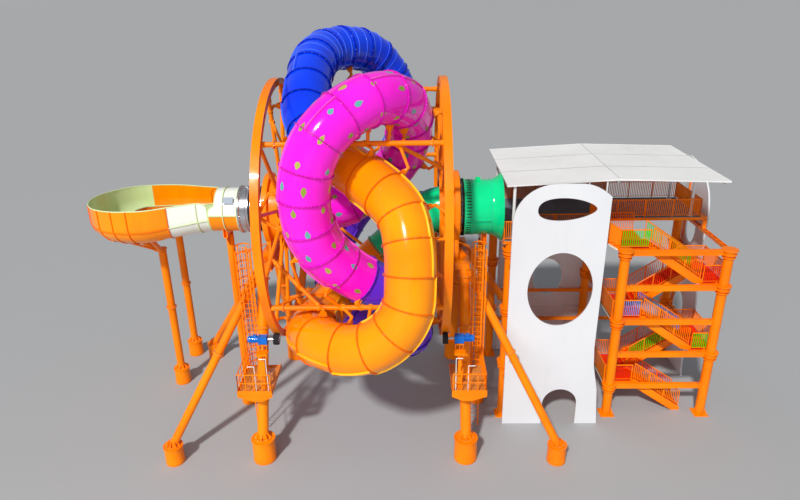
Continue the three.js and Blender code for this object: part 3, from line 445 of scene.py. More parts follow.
def fittings(name, body, item_object, marks, material, slot, size=1.0):
    """Sets an item out on marks of (place, x axis, z axis, stretch), as one plain mesh."""
    points, turns, stretches = [], [], []
    for place, x_axis, z_axis, stretch in marks:
        z = Vector(z_axis).normalized()
        x = Vector(x_axis)
        x = (x - z * x.dot(z)).normalized()
        euler = Matrix((x, z.cross(x), z)).transposed().to_euler()
        points.append((place[0] + axle.x, place[1] + axle.y, place[2]))
        turns.extend(euler)
        stretches.extend(stretch)
    mesh = bpy.data.meshes.new(name + "_marks")
    mesh.from_pydata(points, [], [])
    mesh.attributes.new("turn", "FLOAT_VECTOR", "POINT").data.foreach_set("vector", turns)
    mesh.attributes.new("stretch", "FLOAT_VECTOR", "POINT").data.foreach_set("vector", stretches)
    holder = in_scene(name + "_marks", mesh)
    modifier = holder.modifiers.new("set_out", "NODES")
    modifier.node_group = set_out
    keys = {s.name: s.identifier for s in set_out.interface.items_tree if s.in_out == "INPUT"}
    modifier[keys["Item"]] = item_object
    modifier[keys["Size"]] = size
    modifier[keys["Finish"]] = material
    seen = bpy.context.evaluated_depsgraph_get()
    plain = bpy.data.meshes.new_from_object(holder.evaluated_get(seen))
    holder.modifiers.clear()
    bpy.data.objects.remove(holder)
    plain.name = name
    made = in_scene(name, plain)
    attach(made, body)


def hexagon_bolt(shape):
    """A head one unit wide, with its edge chamfered."""
    points = [(x, y, z) for half, z in ((0.5, 0), (0.5, 0.34), (0.42, 0.4)) for x, y in circle(half, 6)]
    sides = [(a + i, a + (i + 1) % 6, a + 6 + (i + 1) % 6, a + 6 + i) for a in (0, 6) for i in range(6)]
    shape.put(points, sides + [tuple(range(12, 18))])


def bolts(name, marks, size, body="base"):
    """Sets out bolt heads of one size, which is how wide they are in metres."""
    fittings(name, body, bolt, marks, bolt_steel, "joint_steel", size)


bolt = item_mesh("hexagon_bolt", hexagon_bolt)
bolt_steel = finish_of("bolt_steel", (0.62, 0.63, 0.65), (0.42, 0.42, 0.44), 0.3, metal=0.9, streaks=0.3)
# for each colour: the shell, a lighter lip tone that is painted highlight on fins and ribs, and
# a darker rim tone that is painted shade on ring flanges, each with its deeper tone
shades = {
    "green": [(0.0, 0.76, 0.29), (0.0, 0.62, 0.22), (0.02, 0.7, 0.36), (0.0, 0.5, 0.25),
              (0.0, 0.42, 0.17), (0.0, 0.3, 0.12)],
    "orange": [(1.0, 0.31, 0.0), (0.95, 0.235, 0.0), (1.0, 0.55, 0.03), (1.0, 0.4, 0.0),
               (1.0, 0.19, 0.0), (0.8, 0.12, 0.0)],
    "blue": [(0.0, 0.055, 0.86), (0.0, 0.03, 0.7), (0.08, 0.2, 1.0), (0.03, 0.1, 0.85),
             (0.0, 0.02, 0.5), (0.0, 0.015, 0.36)],
    "purple": [(0.14, 0.03, 0.75), (0.1, 0.02, 0.6), (0.22, 0.06, 0.9), (0.14, 0.03, 0.65),
               (0.07, 0.015, 0.45), (0.05, 0.01, 0.3)],
    "magenta": [(0.98, 0.015, 0.74), (0.9, 0.005, 0.6), (1.0, 0.13, 0.72), (0.95, 0.04, 0.6),
                (0.7, 0.01, 0.48), (0.52, 0.005, 0.36)],
}
shell_finishes, lip_highlight_finishes, rim_shade_finishes = {}, {}, {}
for colour, (shell_tone, shell_deep, lip_highlight_tone, lip_highlight_deep, rim_shade_tone, rim_shade_deep) in shades.items():
    gloss = (0.14, 0.4) if colour == "magenta" else (0.16, 0.35)
    streaks = 0.22 if colour == "orange" else 0.15
    shell_finishes[colour] = finish_of(f"{colour}_gel_coat", shell_tone, shell_deep, *gloss,
        streaks=streaks)
    lip_highlight_finishes[colour] = finish_of(f"{colour}_flange_lip", lip_highlight_tone, lip_highlight_deep, 0.22, 0.4)
    rim_shade_finishes[colour] = finish_of(f"{colour}_flange_rim", rim_shade_tone, rim_shade_deep, 0.3, 0.2)
joint_sealant = finish_of("joint_sealant", (0.05, 0.03, 0.03), (0.02, 0.01, 0.01), 0.6)

route_points = []
section_ends = {}
for colour, points in tube_route.items():
    first = max(len(route_points) - 1, 0)
    route_points.extend([(x, y, z + axle.z) for x, y, z in points])
    section_ends[colour] = (first, len(route_points) - 1)
PER_SPAN = 16
COLOUR_SHIFT = 9
route_line = smooth_line(route_points, PER_SPAN)
tube_collars = {}
tube_marks = []
all_bolts = []
for colour, (first, last) in section_ends.items():
    start_late = COLOUR_SHIFT if colour == "magenta" else 0
    end_late = COLOUR_SHIFT if colour == "purple" else 0
    line = route_line[first * PER_SPAN + start_late:last * PER_SPAN + 1 + end_late]
    if colour == "green":
        line = line[line[:, 0] <= TUBE_END]
    if colour == "magenta":
        line = line[line[:, 0] >= -TUBE_END]
    points, ahead, at = even_steps(line, TUBE_STEP)
    u, v = side_vectors(ahead, Y_WAY)
    ring = circle(1, TUBE_SIDES)
    shell = Piece()
    shell.sweep(points, u, v, circle(TUBE_RADIUS, TUBE_SIDES), 0, ends=False)
    inner = TUBE_RADIUS - TUBE_WALL
    shell.sweep(points, u, v, circle(inner, TUBE_SIDES)[::-1], 0, ends=False)
    for end in (0, -1):
        rim = [points[end] + r * (a * u[end] + b * v[end]) for r in (TUBE_RADIUS, inner) for a, b in ring]
        faces = [(i, (i + 1) % TUBE_SIDES, TUBE_SIDES + (i + 1) % TUBE_SIDES, TUBE_SIDES + i)
            for i in range(TUBE_SIDES)]
        shell.put(rim, [f[::-1] for f in faces] if end == 0 else faces, 0)
    segments = max(2, int(round(at[-1] / SEGMENT)))
    joints = [int(round(i * (len(points) - 1) / segments)) for i in range(segments + 1)]
    bend = np.gradient(ahead, axis=0)
    for number, (a, b) in enumerate(zip(joints, joints[1:])):
        # the two fins of a segment lie on the inside and the outside of its bend
        half = (a + b) // 2
        inward = bend[max(a - 9, 0):b + 10].mean(axis=0)
        inward -= ahead[half] * (inward @ ahead[half])
        if np.linalg.norm(inward) < 1e-4:
            inward = u[half]
        inward /= np.linalg.norm(inward)
        sway = (0.25 if colour == "magenta" else 0.04) * math.sin(2.4 * number)
        lean = math.atan2(inward @ v[half], inward @ u[half]) + sway
        run = slice(a, b + 1)
        # the fins take the lighter lip tone, a painted highlight along their edges
        for q in (lean, lean + math.pi):
            out = math.cos(q) * u[run] + math.sin(q) * v[run]
            round_about = math.cos(q) * v[run] - math.sin(q) * u[run]
            for low, high, top, kind in ((-FIN_HALF, -SEAM, FIN_TOP, 1), (SEAM, FIN_HALF, FIN_TOP, 1),
                                         (-SEAM, SEAM, FIN_TOP - 0.02, 2)):
                shell.sweep(points[run], out, round_about,
                            [(SHELL_FOOT, low), (top, low), (top, high), (SHELL_FOOT, high)], kind)
    for j in joints[1:-1] + ([] if colour == "magenta" else [joints[-1]]):
        centre, t = points[j], ahead[j]
        # the ring flanges take the darker rim tone, a painted shade; dark sealant fills the joint between
        # them
        for low, high, kind in ((-0.026, -0.005, 3), (0.005, 0.026, 3), (-0.005, 0.005, 2)):
            top = TUBE_RADIUS + 0.07 if kind == 3 else BOLT_LINE
            shell.band(centre, t, (low, high), (SHELL_FOOT, top), TUBE_SIDES, kind)
        tube_collars.setdefault(colour, []).append((centre, t, u[j], v[j]))
        for i in range(FLANGE_BOLTS):
            q = 2 * math.pi * (i + 0.5) / FLANGE_BOLTS
            out = math.cos(q) * u[j] + math.sin(q) * v[j]
            for way in (1, -1):
                all_bolts.append((centre + BOLT_LINE * out + way * 0.026 * t, out, way * t, (1, 1, 1)))
    if colour == "blue":
        # the top of the blue stretch carries close stiffening ribs, in the lighter lip tone that is a
        # painted highlight
        for share in np.linspace(0.3, 0.8, 17):
            j = int(share * (len(points) - 1))
            rib = [(-0.016, SHELL_FOOT), (-0.012, RIB_TOP), (0.012, RIB_TOP), (0.016, SHELL_FOOT)]
            shell.turned(points[j], ahead[j], rib, TUBE_SIDES, 1)
    if colour == "magenta":
        # teardrop spots, laid out in staggered rows round the shell
        rows = int(at[-1] / 0.98)
        for row in range(rows):
            j = int((row + 0.5) / rows * (len(points) - 1))
            for k in range(6):
                q = 2 * math.pi * (k + 0.5 * (row % 2)) / 6 + 0.14 * math.sin(3.1 * row + 1.7 * k)
                out = math.cos(q) * u[j] + math.sin(q) * v[j]
                size = 1.0 + 0.2 * math.sin(5.3 * k + 2.9 * row)
                tube_marks.append((points[j], ahead[j] * (1 if (row + k) % 3 else -1), out, size,
                    (row + 2 * k) % 3))
    finishes = [shell_finishes[colour], lip_highlight_finishes[colour], joint_sealant, rim_shade_finishes[colour]]
    shell.finish("riding_tube", colour, finishes, f"{colour}_shell", "wheel", 40, f"tube_{colour}")
bolts("flange_bolts", all_bolts, 0.032, "wheel")


def teardrop(shape):
    """A teardrop on a shell of the tube's radius: local z points out, x along the tube."""
    steps, rings = 20, 3
    outline = []
    for i in range(steps):
        q = 2 * math.pi * i / steps
        outline.append((0.17 * math.cos(q) * (1 + 0.28 * max(0.0, math.cos(q)) ** 3), 0.125 * math.sin(q)
                        * (1 - 0.55 * max(0.0, math.cos(q)) ** 2)))
    top = TUBE_RADIUS + 0.004
    points = [(0, 0, top)]
    for r in range(1, rings + 1):
        for x, y in outline:
            across = y * r / rings / TUBE_RADIUS
            points.append((x * r / rings, top * math.sin(across), top * math.cos(across)))
    faces = [(0, 1 + i, 1 + (i + 1) % steps) for i in range(steps)]
    for r in range(rings - 1):
        for i in range(steps):
            a, b = 1 + r * steps + i, 1 + r * steps + (i + 1) % steps
            faces.append((a, a + steps, b + steps, b))
    skirt = [1 + (rings - 1) * steps + i for i in range(steps)]
    base = len(points)
    for i in skirt:
        x, y, z = points[i]
        length = math.hypot(y, z)
        points.append((x, y * SHELL_FOOT / length, z * SHELL_FOOT / length))
    faces += [(skirt[i], base + i, base + (i + 1) % steps, skirt[(i + 1) % steps]) for i in range(steps)]
    shape.put(points, faces)


spot = item_mesh("teardrop_spot", teardrop)
spot_finishes = [finish_of("olive_spot", (0.3, 0.36, 0.05), (0.22, 0.28, 0.03), 0.2, 0.5),
                 finish_of("teal_spot", (0.12, 0.45, 0.4), (0.07, 0.34, 0.3), 0.2, 0.5),
                 finish_of("yellow_green_spot", (0.42, 0.48, 0.08), (0.32, 0.38, 0.05), 0.2, 0.5)]
for shade, words in enumerate(("olive", "teal", "lime")):
    chosen = [(p, x, z, (s, 1, 1)) for p, x, z, s, k in tube_marks if k == shade]
    fittings(f"magenta_spots_{words}", "wheel", spot, chosen, spot_finishes[shade], "magenta_shell")

# The wheel's two side frames: rolled and welded box rims, round spokes and a hub ring with
# its journal, all in painted steel. Splice plates join the rim's segments, and sleeves and
# gussets stiffen each spoke at its ends.
FRAME_PLANE = 4.4
RIM_OUTER, RIM_INNER, RIM_HALF = 7.1, 6.75, 0.2
HUB_OUTER, HUB_BORE, HUB_CLEAR, HUB_END = 1.95, 1.35, 0.27, 5.0
SPOKE_ANGLES = range(15, 375, 30)
SPOKE_RADIUS = 0.11
SIDES = ((-1, "left"), (1, "right"))
orange_paint = finish_of("orange_paint", (1.0, 0.255, 0.0), (0.93, 0.185, 0.0), 0.34, 0.15, streaks=0.2)
worn_paint = finish_of("orange_paint_edges", (1.0, 0.29, 0.0), (0.95, 0.215, 0.0), 0.4, 0.1, streaks=0.3)
painted_steel = ([orange_paint, worn_paint], "orange_paint")
steel_bolts = []


def on_side(side, near, far):
    """An interval in X on one side of the axle's middle, from its low end."""
    return sorted((side * near, side * far))


def wheel_point(x, radius, degrees):
    """A place beside the axle: the angle runs from the top towards the front."""
    q = math.radians(degrees)
    return np.array([x, -radius * math.sin(q), axle.z + radius * math.cos(q)])


def bolt_circle(centre, axis, radius, count, phase=0.0):
    """Bolt heads on a circle about centre, standing out along axis."""
    t, u, v = square_to(axis)
    for i in range(count):
        q = phase + 2 * math.pi * i / count
        out = math.cos(q) * u + math.sin(q) * v
        steel_bolts.append((np.array(centre) + radius * out, out, t, (1, 1, 1)))


for side, words in SIDES:
    plane = side * FRAME_PLANE
    middle = (plane, 0, axle.z)
    frame_piece = Piece()
    lip, web = 0.03, RIM_HALF - 0.028
    frame_piece.turned(middle, X_WAY, [(-RIM_HALF, RIM_OUTER - lip), (-RIM_HALF, RIM_OUTER),
        (RIM_HALF, RIM_OUTER), (RIM_HALF, RIM_OUTER - lip), (web, RIM_OUTER - lip - 0.01),
        (web, RIM_INNER + lip + 0.01), (RIM_HALF, RIM_INNER + lip), (RIM_HALF, RIM_INNER),
        (-RIM_HALF, RIM_INNER), (-RIM_HALF, RIM_INNER + lip), (-web, RIM_INNER + lip + 0.01),
        (-web, RIM_OUTER - lip - 0.01)], 144)
    bevel = 0.02
    frame_piece.turned(middle, X_WAY, [(-RIM_HALF, HUB_BORE + HUB_CLEAR + bevel),
        (-RIM_HALF, HUB_OUTER - bevel), (-RIM_HALF + bevel, HUB_OUTER), (RIM_HALF - bevel, HUB_OUTER),
        (RIM_HALF, HUB_OUTER - bevel), (RIM_HALF, HUB_BORE + HUB_CLEAR + bevel),
        (RIM_HALF - bevel, HUB_BORE + HUB_CLEAR), (-RIM_HALF + bevel, HUB_BORE + HUB_CLEAR)], 96)
    near, far = on_side(side, HUB_END - 0.45, HUB_END)
    frame_piece.turned(AXLE, X_WAY, [(near, HUB_BORE + 0.004), (near, HUB_OUTER - 0.15),
        (far, HUB_OUTER - 0.15), (far, HUB_BORE + 0.004)], 96)
    for face in (-1, 1):
        bolt_circle((plane + face * RIM_HALF, 0, axle.z), (face, 0, 0), HUB_OUTER - 0.1, 36)
    for degrees in SPOKE_ANGLES:
        frame_piece.pipe([wheel_point(plane, HUB_OUTER - 0.1, degrees),
            wheel_point(plane, RIM_INNER + 0.02, degrees)], SPOKE_RADIUS, 20)
        for low, high in ((HUB_OUTER - 0.05, 2.3), (6.36, RIM_INNER + 0.02)):
            frame_piece.pipe([wheel_point(plane, low, degrees), wheel_point(plane, high, degrees)],
                             SPOKE_RADIUS + 0.022, 20, 1)
        along = wheel_point(0, 1, degrees) - AXLE
        across = np.cross(along, X_WAY)
        for way in (-1, 1):
            for foot, size, up in ((HUB_OUTER - 0.02, 0.42, 1), (RIM_INNER + 0.01, 0.3, -1)):
                frame_piece.plate([(way * 0.1, 0), (way * (0.1 + 0.7 * size), 0),
                    (way * (0.1 + 0.62 * size), up * 0.06), (way * 0.1, up * size)], 0.03,
                    wheel_point(plane, foot, degrees) + (0.015, 0, 0), across, along)
    for degrees in range(0, 360, 30):
        along = wheel_point(0, 1, degrees) - AXLE
        across = np.cross(along, X_WAY)
        for face in (-1, 1):
            hand = across * face
            corner = wheel_point(plane + face * (web + 0.016), (RIM_OUTER + RIM_INNER) / 2, degrees)
            frame_piece.plate([(-0.3, -0.11), (0.3, -0.11), (0.3, 0.11), (-0.3, 0.11)], 0.02, corner, -hand,
                along, 1)
            for a in (-0.22, -0.08, 0.08, 0.22):
                for b in (-0.06, 0.06):
                    steel_bolts.append((corner + a * across + b * along, across, (face, 0, 0),
                        (0.8, 0.8, 0.8)))
    frame_piece.finish(f"wheel_frame_{words}", "steelwork", *painted_steel, "wheel", 30)

# Cross bars between the frames: round tube welded to the spokes, with bolted flange joints
# near their ends and diagonal stays with a sleeve at mid length.
BAR_RADIUS, STAY_RADIUS = 0.125, 0.1
BAR_END = FRAME_PLANE - SPOKE_RADIUS + 0.012
cross_bars = {
    "wheel_cross_brace_top_rear": [(315, 6.6, BAR_END), (285, 6.1, BAR_END)],
    "wheel_cross_brace_lower_rear": [(255, 5.9, BAR_END), (225, 6.1, BAR_END)],
    "wheel_cross_bar_bottom": [(195, 6.0, BAR_END)],
    "wheel_cross_bar_top_front": [(45, 6.6, BAR_END)],
    "wheel_cross_bar_front": [(116, 6.95, FRAME_PLANE - RIM_HALF)],
    "wheel_top_bar": [(330, 6.92, FRAME_PLANE - RIM_HALF)],
}
front_stays = {
    "wheel_cross_bar_top_front": ((1.9, 6.6, 45), (BAR_END, 4.25, 45)),
    "wheel_cross_bar_front": ((-1.75, 6.95, 116), (-BAR_END, 4.69, 105.3)),
}
carriers = []
for node, bars in cross_bars.items():
    bar_piece = Piece()
    stays = [front_stays[node]] if node in front_stays else []
    if len(bars) == 2:
        first, second = bars
        inset = BAR_END - 0.2
        stays = [((way * inset, first[1], first[0]), (0, second[1], second[0])) for way in (-1, 1)]
    for degrees, radius, reach in bars:
        ends = [wheel_point(-reach, radius, degrees), wheel_point(reach, radius, degrees)]
        carriers.append((ends[0], ends[1], BAR_RADIUS))
        bar_piece.pipe(ends, BAR_RADIUS, 24)
        for way in (-1, 1):
            for x in (way * (reach - 0.62), way * (reach - 0.585)):
                bar_piece.turned(wheel_point(x, radius, degrees), X_WAY,
                                 [(-0.014, 0.1), (-0.014, 0.2), (0.014, 0.2), (0.014, 0.1)], 28, 1)
            bolt_circle(wheel_point(way * (reach - 0.636), radius, degrees), (-way, 0, 0), 0.165, 8)
            bar_piece.pipe([wheel_point(way * reach, radius, degrees),
                wheel_point(way * (reach - 0.2), radius, degrees)], BAR_RADIUS + 0.018, 24, 1)
    for (x0, r0, q0), (x1, r1, q1) in stays:
        low, high = wheel_point(x0, r0, q0), wheel_point(x1, r1, q1)
        carriers.append((low, high, STAY_RADIUS))
        bar_piece.pipe([low, high], STAY_RADIUS, 20)
        for shares in ((0.44, 0.56), (0.05, 0.09), (0.91, 0.95)):
            bar_piece.pipe([low + share * (high - low) for share in shares], STAY_RADIUS + 0.016, 20, 1)
    # the top bar only carries hangers and has no node of its own
    bar_piece.finish(node, "tubes", *painted_steel, "wheel", 30, node if "cross" in node else "")

# Tube hangers: short arms from the nearest bar or spoke to the flanges of the riding tube,
# each with a fork plate that is bolted through the flange.
for side in (-1, 1):
    for degrees in SPOKE_ANGLES:
        carriers.append((wheel_point(side * FRAME_PLANE, HUB_OUTER, degrees),
                         wheel_point(side * FRAME_PLANE, RIM_INNER, degrees), SPOKE_RADIUS))
LONGEST_ARM = 2.1
hanger_piece = Piece()
for colour, collars in tube_collars.items():
    for centre, t, u, v in collars:
        near = []
        for low, high, radius in carriers:
            share = np.clip((centre - low) @ (high - low) / ((high - low) @ (high - low)), 0.06, 0.94)
            foot = low + share * (high - low)
            flat = foot - centre - t * ((foot - centre) @ t)
            near.append((np.linalg.norm(foot - centre), tuple(foot), tuple(flat / np.linalg.norm(flat)),
                radius))
        foot, out, radius = min(near)[1:]
        foot, out = np.array(foot), np.array(out)
        grip = centre + out * (TUBE_RADIUS + 0.1)
        length = np.linalg.norm(foot - grip)
        if not 0.12 < length < LONGEST_ARM:
            continue
        around = np.cross(t, out)
        knee = centre + out * (TUBE_RADIUS + 0.16 + min(0.3, 0.45 * length))
        hanger_piece.pipe([foot, knee, grip], 0.085, 14)
        hanger_piece.pipe([foot - 0.09 * around, foot + 0.09 * around], radius + 0.03, 14, 1)
        for way in (-1, 1):
            hanger_piece.plate([(-0.24, -0.07), (0.24, -0.07), (0.1, 0.2), (-0.1, 0.2)], 0.022,
                               grip + t * (way * 0.055 + 0.011), around, out, 1)
            for a in (-0.16, 0.16):
                steel_bolts.append((grip + way * 0.068 * t + a * around - 0.03 * out, out, way * t,
                    (1.3, 1.3, 1.6)))
hanger_piece.finish("tube", "hangers", *painted_steel, "wheel", 30, "")
bolts("wheel_bolts", steel_bolts, 0.045, "wheel")

# The hub yokes: a plate cheek with a bearing ring welded into it, on a box head that ties
# the two legs together. Ribs run out from the ring, and bolts hold the bearing's cover.
LEG_PLANE = 5.57
YOKE_THICK, YOKE_RADIUS = 0.3, 2.05
HEAD_BOTTOM, HEAD_TOP, HEAD_HALF, HEAD_OUTER = 9.9, 10.3, 2.0, 5.9
SEAT = 0.0003
steel_bolts = []
for side, words in SIDES:
    yoke = Piece()
    low, high = on_side(side, HUB_END + SEAT, HUB_END + YOKE_THICK)
    edge = 0.025
    yoke.turned(AXLE, X_WAY, [(low, HUB_BORE + edge), (low, YOKE_RADIUS - edge), (low + edge, YOKE_RADIUS),
        (high - edge, YOKE_RADIUS), (high, YOKE_RADIUS - edge), (high, HUB_BORE + edge),
        (high - edge, HUB_BORE), (low + edge, HUB_BORE)], 96)
    cheek = [(-1.5, HEAD_BOTTOM + 0.02), (1.5, HEAD_BOTTOM + 0.02)]
    arc = [math.radians(a) for a in range(-42, -139, -8)]
    cheek += [(1.5, axle.z - 0.3)] + [(1.94 * math.cos(q), axle.z + 1.94 * math.sin(q)) for q in arc]
    cheek += [(-1.5, axle.z - 0.3)]
    yoke.plate(cheek, high - low - 0.08, (low + 0.04 if side < 0 else high - 0.04, 0, 0), (0, side, 0),
        Z_WAY)
    x0, x1 = on_side(side, HUB_END + SEAT, HEAD_OUTER)
    for z in (HEAD_BOTTOM, HEAD_TOP - 0.035):
        yoke.box((x0, x1), about(0, HEAD_HALF), (z, z + 0.035))
    inside_z = (HEAD_BOTTOM + 0.03, HEAD_TOP - 0.03)
    yoke.box((x0 + 0.05, x1 - 0.05), about(0, HEAD_HALF - 0.04), inside_z)
    face = side * HEAD_OUTER
    for y in np.linspace(-1.75, 1.75, 8):
        yoke.box((face - side * 0.06, face - side * 0.012), about(y, 0.012), inside_z, 1)
    rib_face = side * (HUB_END + YOKE_THICK)
    for y in (-1.2, -0.9, -0.45, 0.45, 0.9, 1.2):
        depth = 0.5 if abs(y) == 0.9 else 0.24
        yoke.plate([(0, 0), (side * depth, 0), (side * depth, 0.06), (side * 0.05, 0.62 - 0.1 * abs(y)),
            (0, 0.62 - 0.1 * abs(y))], 0.03, (rib_face - side * 0.02, y - 0.015, HEAD_TOP - 0.02), X_WAY,
            Z_WAY)
    for degrees in range(0, 360, 30):
        q = math.radians(degrees)
        out = ray(q)
        if out[1] ** 2 < 0.7 and out[2] < 0:
            continue
        yoke.plate([(0, 0), (side * 0.12, 0), (0, 0.36)], 0.026,
            np.array((rib_face - side * 0.004, 0, axle.z)) + 1.62 * out + 0.013 * np.cross(X_WAY, out),
            X_WAY, out, 1)
    bolt_circle((rib_face, 0, axle.z), (side, 0, 0), 1.5, 40)
    bolt_circle((rib_face, 0, axle.z), (side, 0, 0), 1.96, 40, 0.08)
    yoke.finish(f"hub_yoke_{words}", "plates", *painted_steel)

# Legs and raking braces: rolled steel tube, made in lengths with bolted flanges, each on a
# drum pedestal that is cast in at the ground. A gusseted base plate bolts it down.
LEG_FOOT, LEG_TOP, LEG_TOP_Z, LEG_RADIUS = 5.4, 1.5, 10.3, 0.3
PEDESTAL_RADIUS, PEDESTAL_HEIGHT = 0.62, 1.4


def pedestal(shape, x, y, radius, height, column_radius):
    """A drum with a rolled rim, a base plate with eight gussets on it, and its bolts."""
    shape.turned((x, y, 0), Z_WAY, [(0, 0.02), (0, radius), (0.03, radius + 0.012), (0.16, radius + 0.012),
        (0.18, radius), (height - 0.1, radius), (height - 0.08, radius + 0.035), (height, radius + 0.035),
        (height, radius - 0.05), (height - 0.015, radius - 0.07), (height - 0.015, 0.02)], 56)
    plate = column_radius + 0.17
    shape.band((x, y, height), Z_WAY, (-0.02, 0.035), (0.02, plate), 48, 1)
    for i in range(8):
        q = 2 * math.pi * i / 8
        out = np.array((math.cos(q), math.sin(q), 0))
        shape.plate([(column_radius - 0.06, 0), (plate - 0.01, 0), (plate - 0.01, 0.03),
            (column_radius - 0.02, 0.3), (column_radius - 0.06, 0.3)], 0.024,
            np.array((x, y, height + 0.03)) + 0.012 * np.array((out[1], -out[0], 0)), out, Z_WAY)
    bolt_circle((x, y, height + 0.035), Z_WAY, plate - 0.06, 16, 0.2)


def flange_pair(shape, place, direction, radius, stand=0.09):
    """Two bolted rings round a tube, face to face."""
    t = np.array(direction, float) / np.linalg.norm(direction)
    for low, high in ((-0.045, -0.004), (0.004, 0.045)):
        shape.band(place, t, (low, high), (radius - 0.02, radius + stand), 36, 1)
    for way in (-1, 1):
        bolt_circle(np.array(place) + way * 0.045 * t, way * t, radius + 0.55 * stand, 14)


def along_line(low, high, share):
    """The place at a share of the way from low to high."""
    return low + share * (high - low)


def leg_y_at(z):
    """Where the front legs' middle line is at height z."""
    return -LEG_FOOT + (LEG_FOOT - LEG_TOP) * (z - PEDESTAL_HEIGHT) / (LEG_TOP_Z - PEDESTAL_HEIGHT)


brace_feet = {"front": (10.53, -5.64), "rear": (11.35, 5.42)}
for side, words in SIDES:
    for way, end in ((-1, "front"), (1, "rear")):
        leg = Piece()
        low = np.array((side * LEG_PLANE, way * LEG_FOOT, PEDESTAL_HEIGHT))
        high = np.array((side * LEG_PLANE, way * LEG_TOP, LEG_TOP_Z))
        top = along_line(low, high, (HEAD_BOTTOM + 0.13 - low[2]) / (high[2] - low[2]))
        leg.pipe([low - (0, 0, 0.01), top], LEG_RADIUS, 40)
        flange_pair(leg, along_line(low, high, 0.62), high - low, LEG_RADIUS)
        flange_pair(leg, along_line(low, high, 0.9), high - low, LEG_RADIUS)
        pedestal(leg, low[0], low[1], PEDESTAL_RADIUS, PEDESTAL_HEIGHT, LEG_RADIUS)
        leg.finish(f"support_leg_{words}_{end}", "tube", *painted_steel)
        brace = Piece()
        foot_x, foot_y = brace_feet[end]
        low = np.array((side * foot_x, foot_y, PEDESTAL_HEIGHT - 0.3))
        high = np.array((side * (HEAD_OUTER - 0.3), way * 1.5, HEAD_BOTTOM + 0.25))
        top = along_line(low, high, (foot_x - HEAD_OUTER + 0.08) / (foot_x - HEAD_OUTER + 0.3))
        brace.pipe([low - (0, 0, 0.01), top], 0.23, 36)
        flange_pair(brace, along_line(low, high, 0.5), high - low, 0.23, 0.07)
        pedestal(brace, foot_x * side, foot_y, 0.5, PEDESTAL_HEIGHT - 0.3, 0.23)
        brace.finish(f"support_brace_{words}_{end}", "tube", *painted_steel)

bolts("support_bolts", steel_bolts, 0.05)

# Service platforms: a grating floor on a channel frame at each front leg, with tube railings,
# a V-shaped fascia plate, a drive stand, and a caged ladder up to the hub.
PLATFORM_X, PLATFORM_Y, PLATFORM_Z = (4.75, 6.6), (-5.7, -2.94), 4.5
RAIL_HEIGHT = 1.1
LADDER_X, LADDER_Y, LADDER_HALF, LADDER_TOP = 6.25, -2.96, 0.23, 11.8
DRIVE_X, DRIVE_Y, DRIVE_SHELF = 5.15, -5.25, 6.68
STEP_OUT = 0.06
FOUR_WAYS = (X_WAY, (-1, 0, 0), Y_WAY, (0, -1, 0))
steel_bolts = []
galvanised = finish_of("galvanised_grating", (0.75, 0.3, 0.06), (0.6, 0.22, 0.04), 0.5, grain=0.1,
    streaks=0.3)
white_pipe = finish_of("white_air_pipe", (0.8, 0.8, 0.78), (0.7, 0.7, 0.68), 0.4, 0.2)


def tube_railing(shape, points, z):
    """Posts, a top rail and a knee rail along plan points at one height."""
    spacing, radius = 0.45, 0.03
    p = [np.array((x, y, z)) for x, y in points]
    for high in (RAIL_HEIGHT - radius, RAIL_HEIGHT / 2):
        shape.pipe([q + (0, 0, high) for q in p], radius if high > 1 else 0.8 * radius, 10)
    for a, b in zip(p, p[1:]):
        bays = max(1, int(round(np.linalg.norm(b - a) / spacing)))
        for k in range(bays + 1):
            foot = a + (b - a) * k / bays
            shape.pipe([foot, foot + (0, 0, RAIL_HEIGHT - radius)], radius, 10)
            shape.band(foot, Z_WAY, (0, 0.012), (0.004, 0.06), 12, 1)


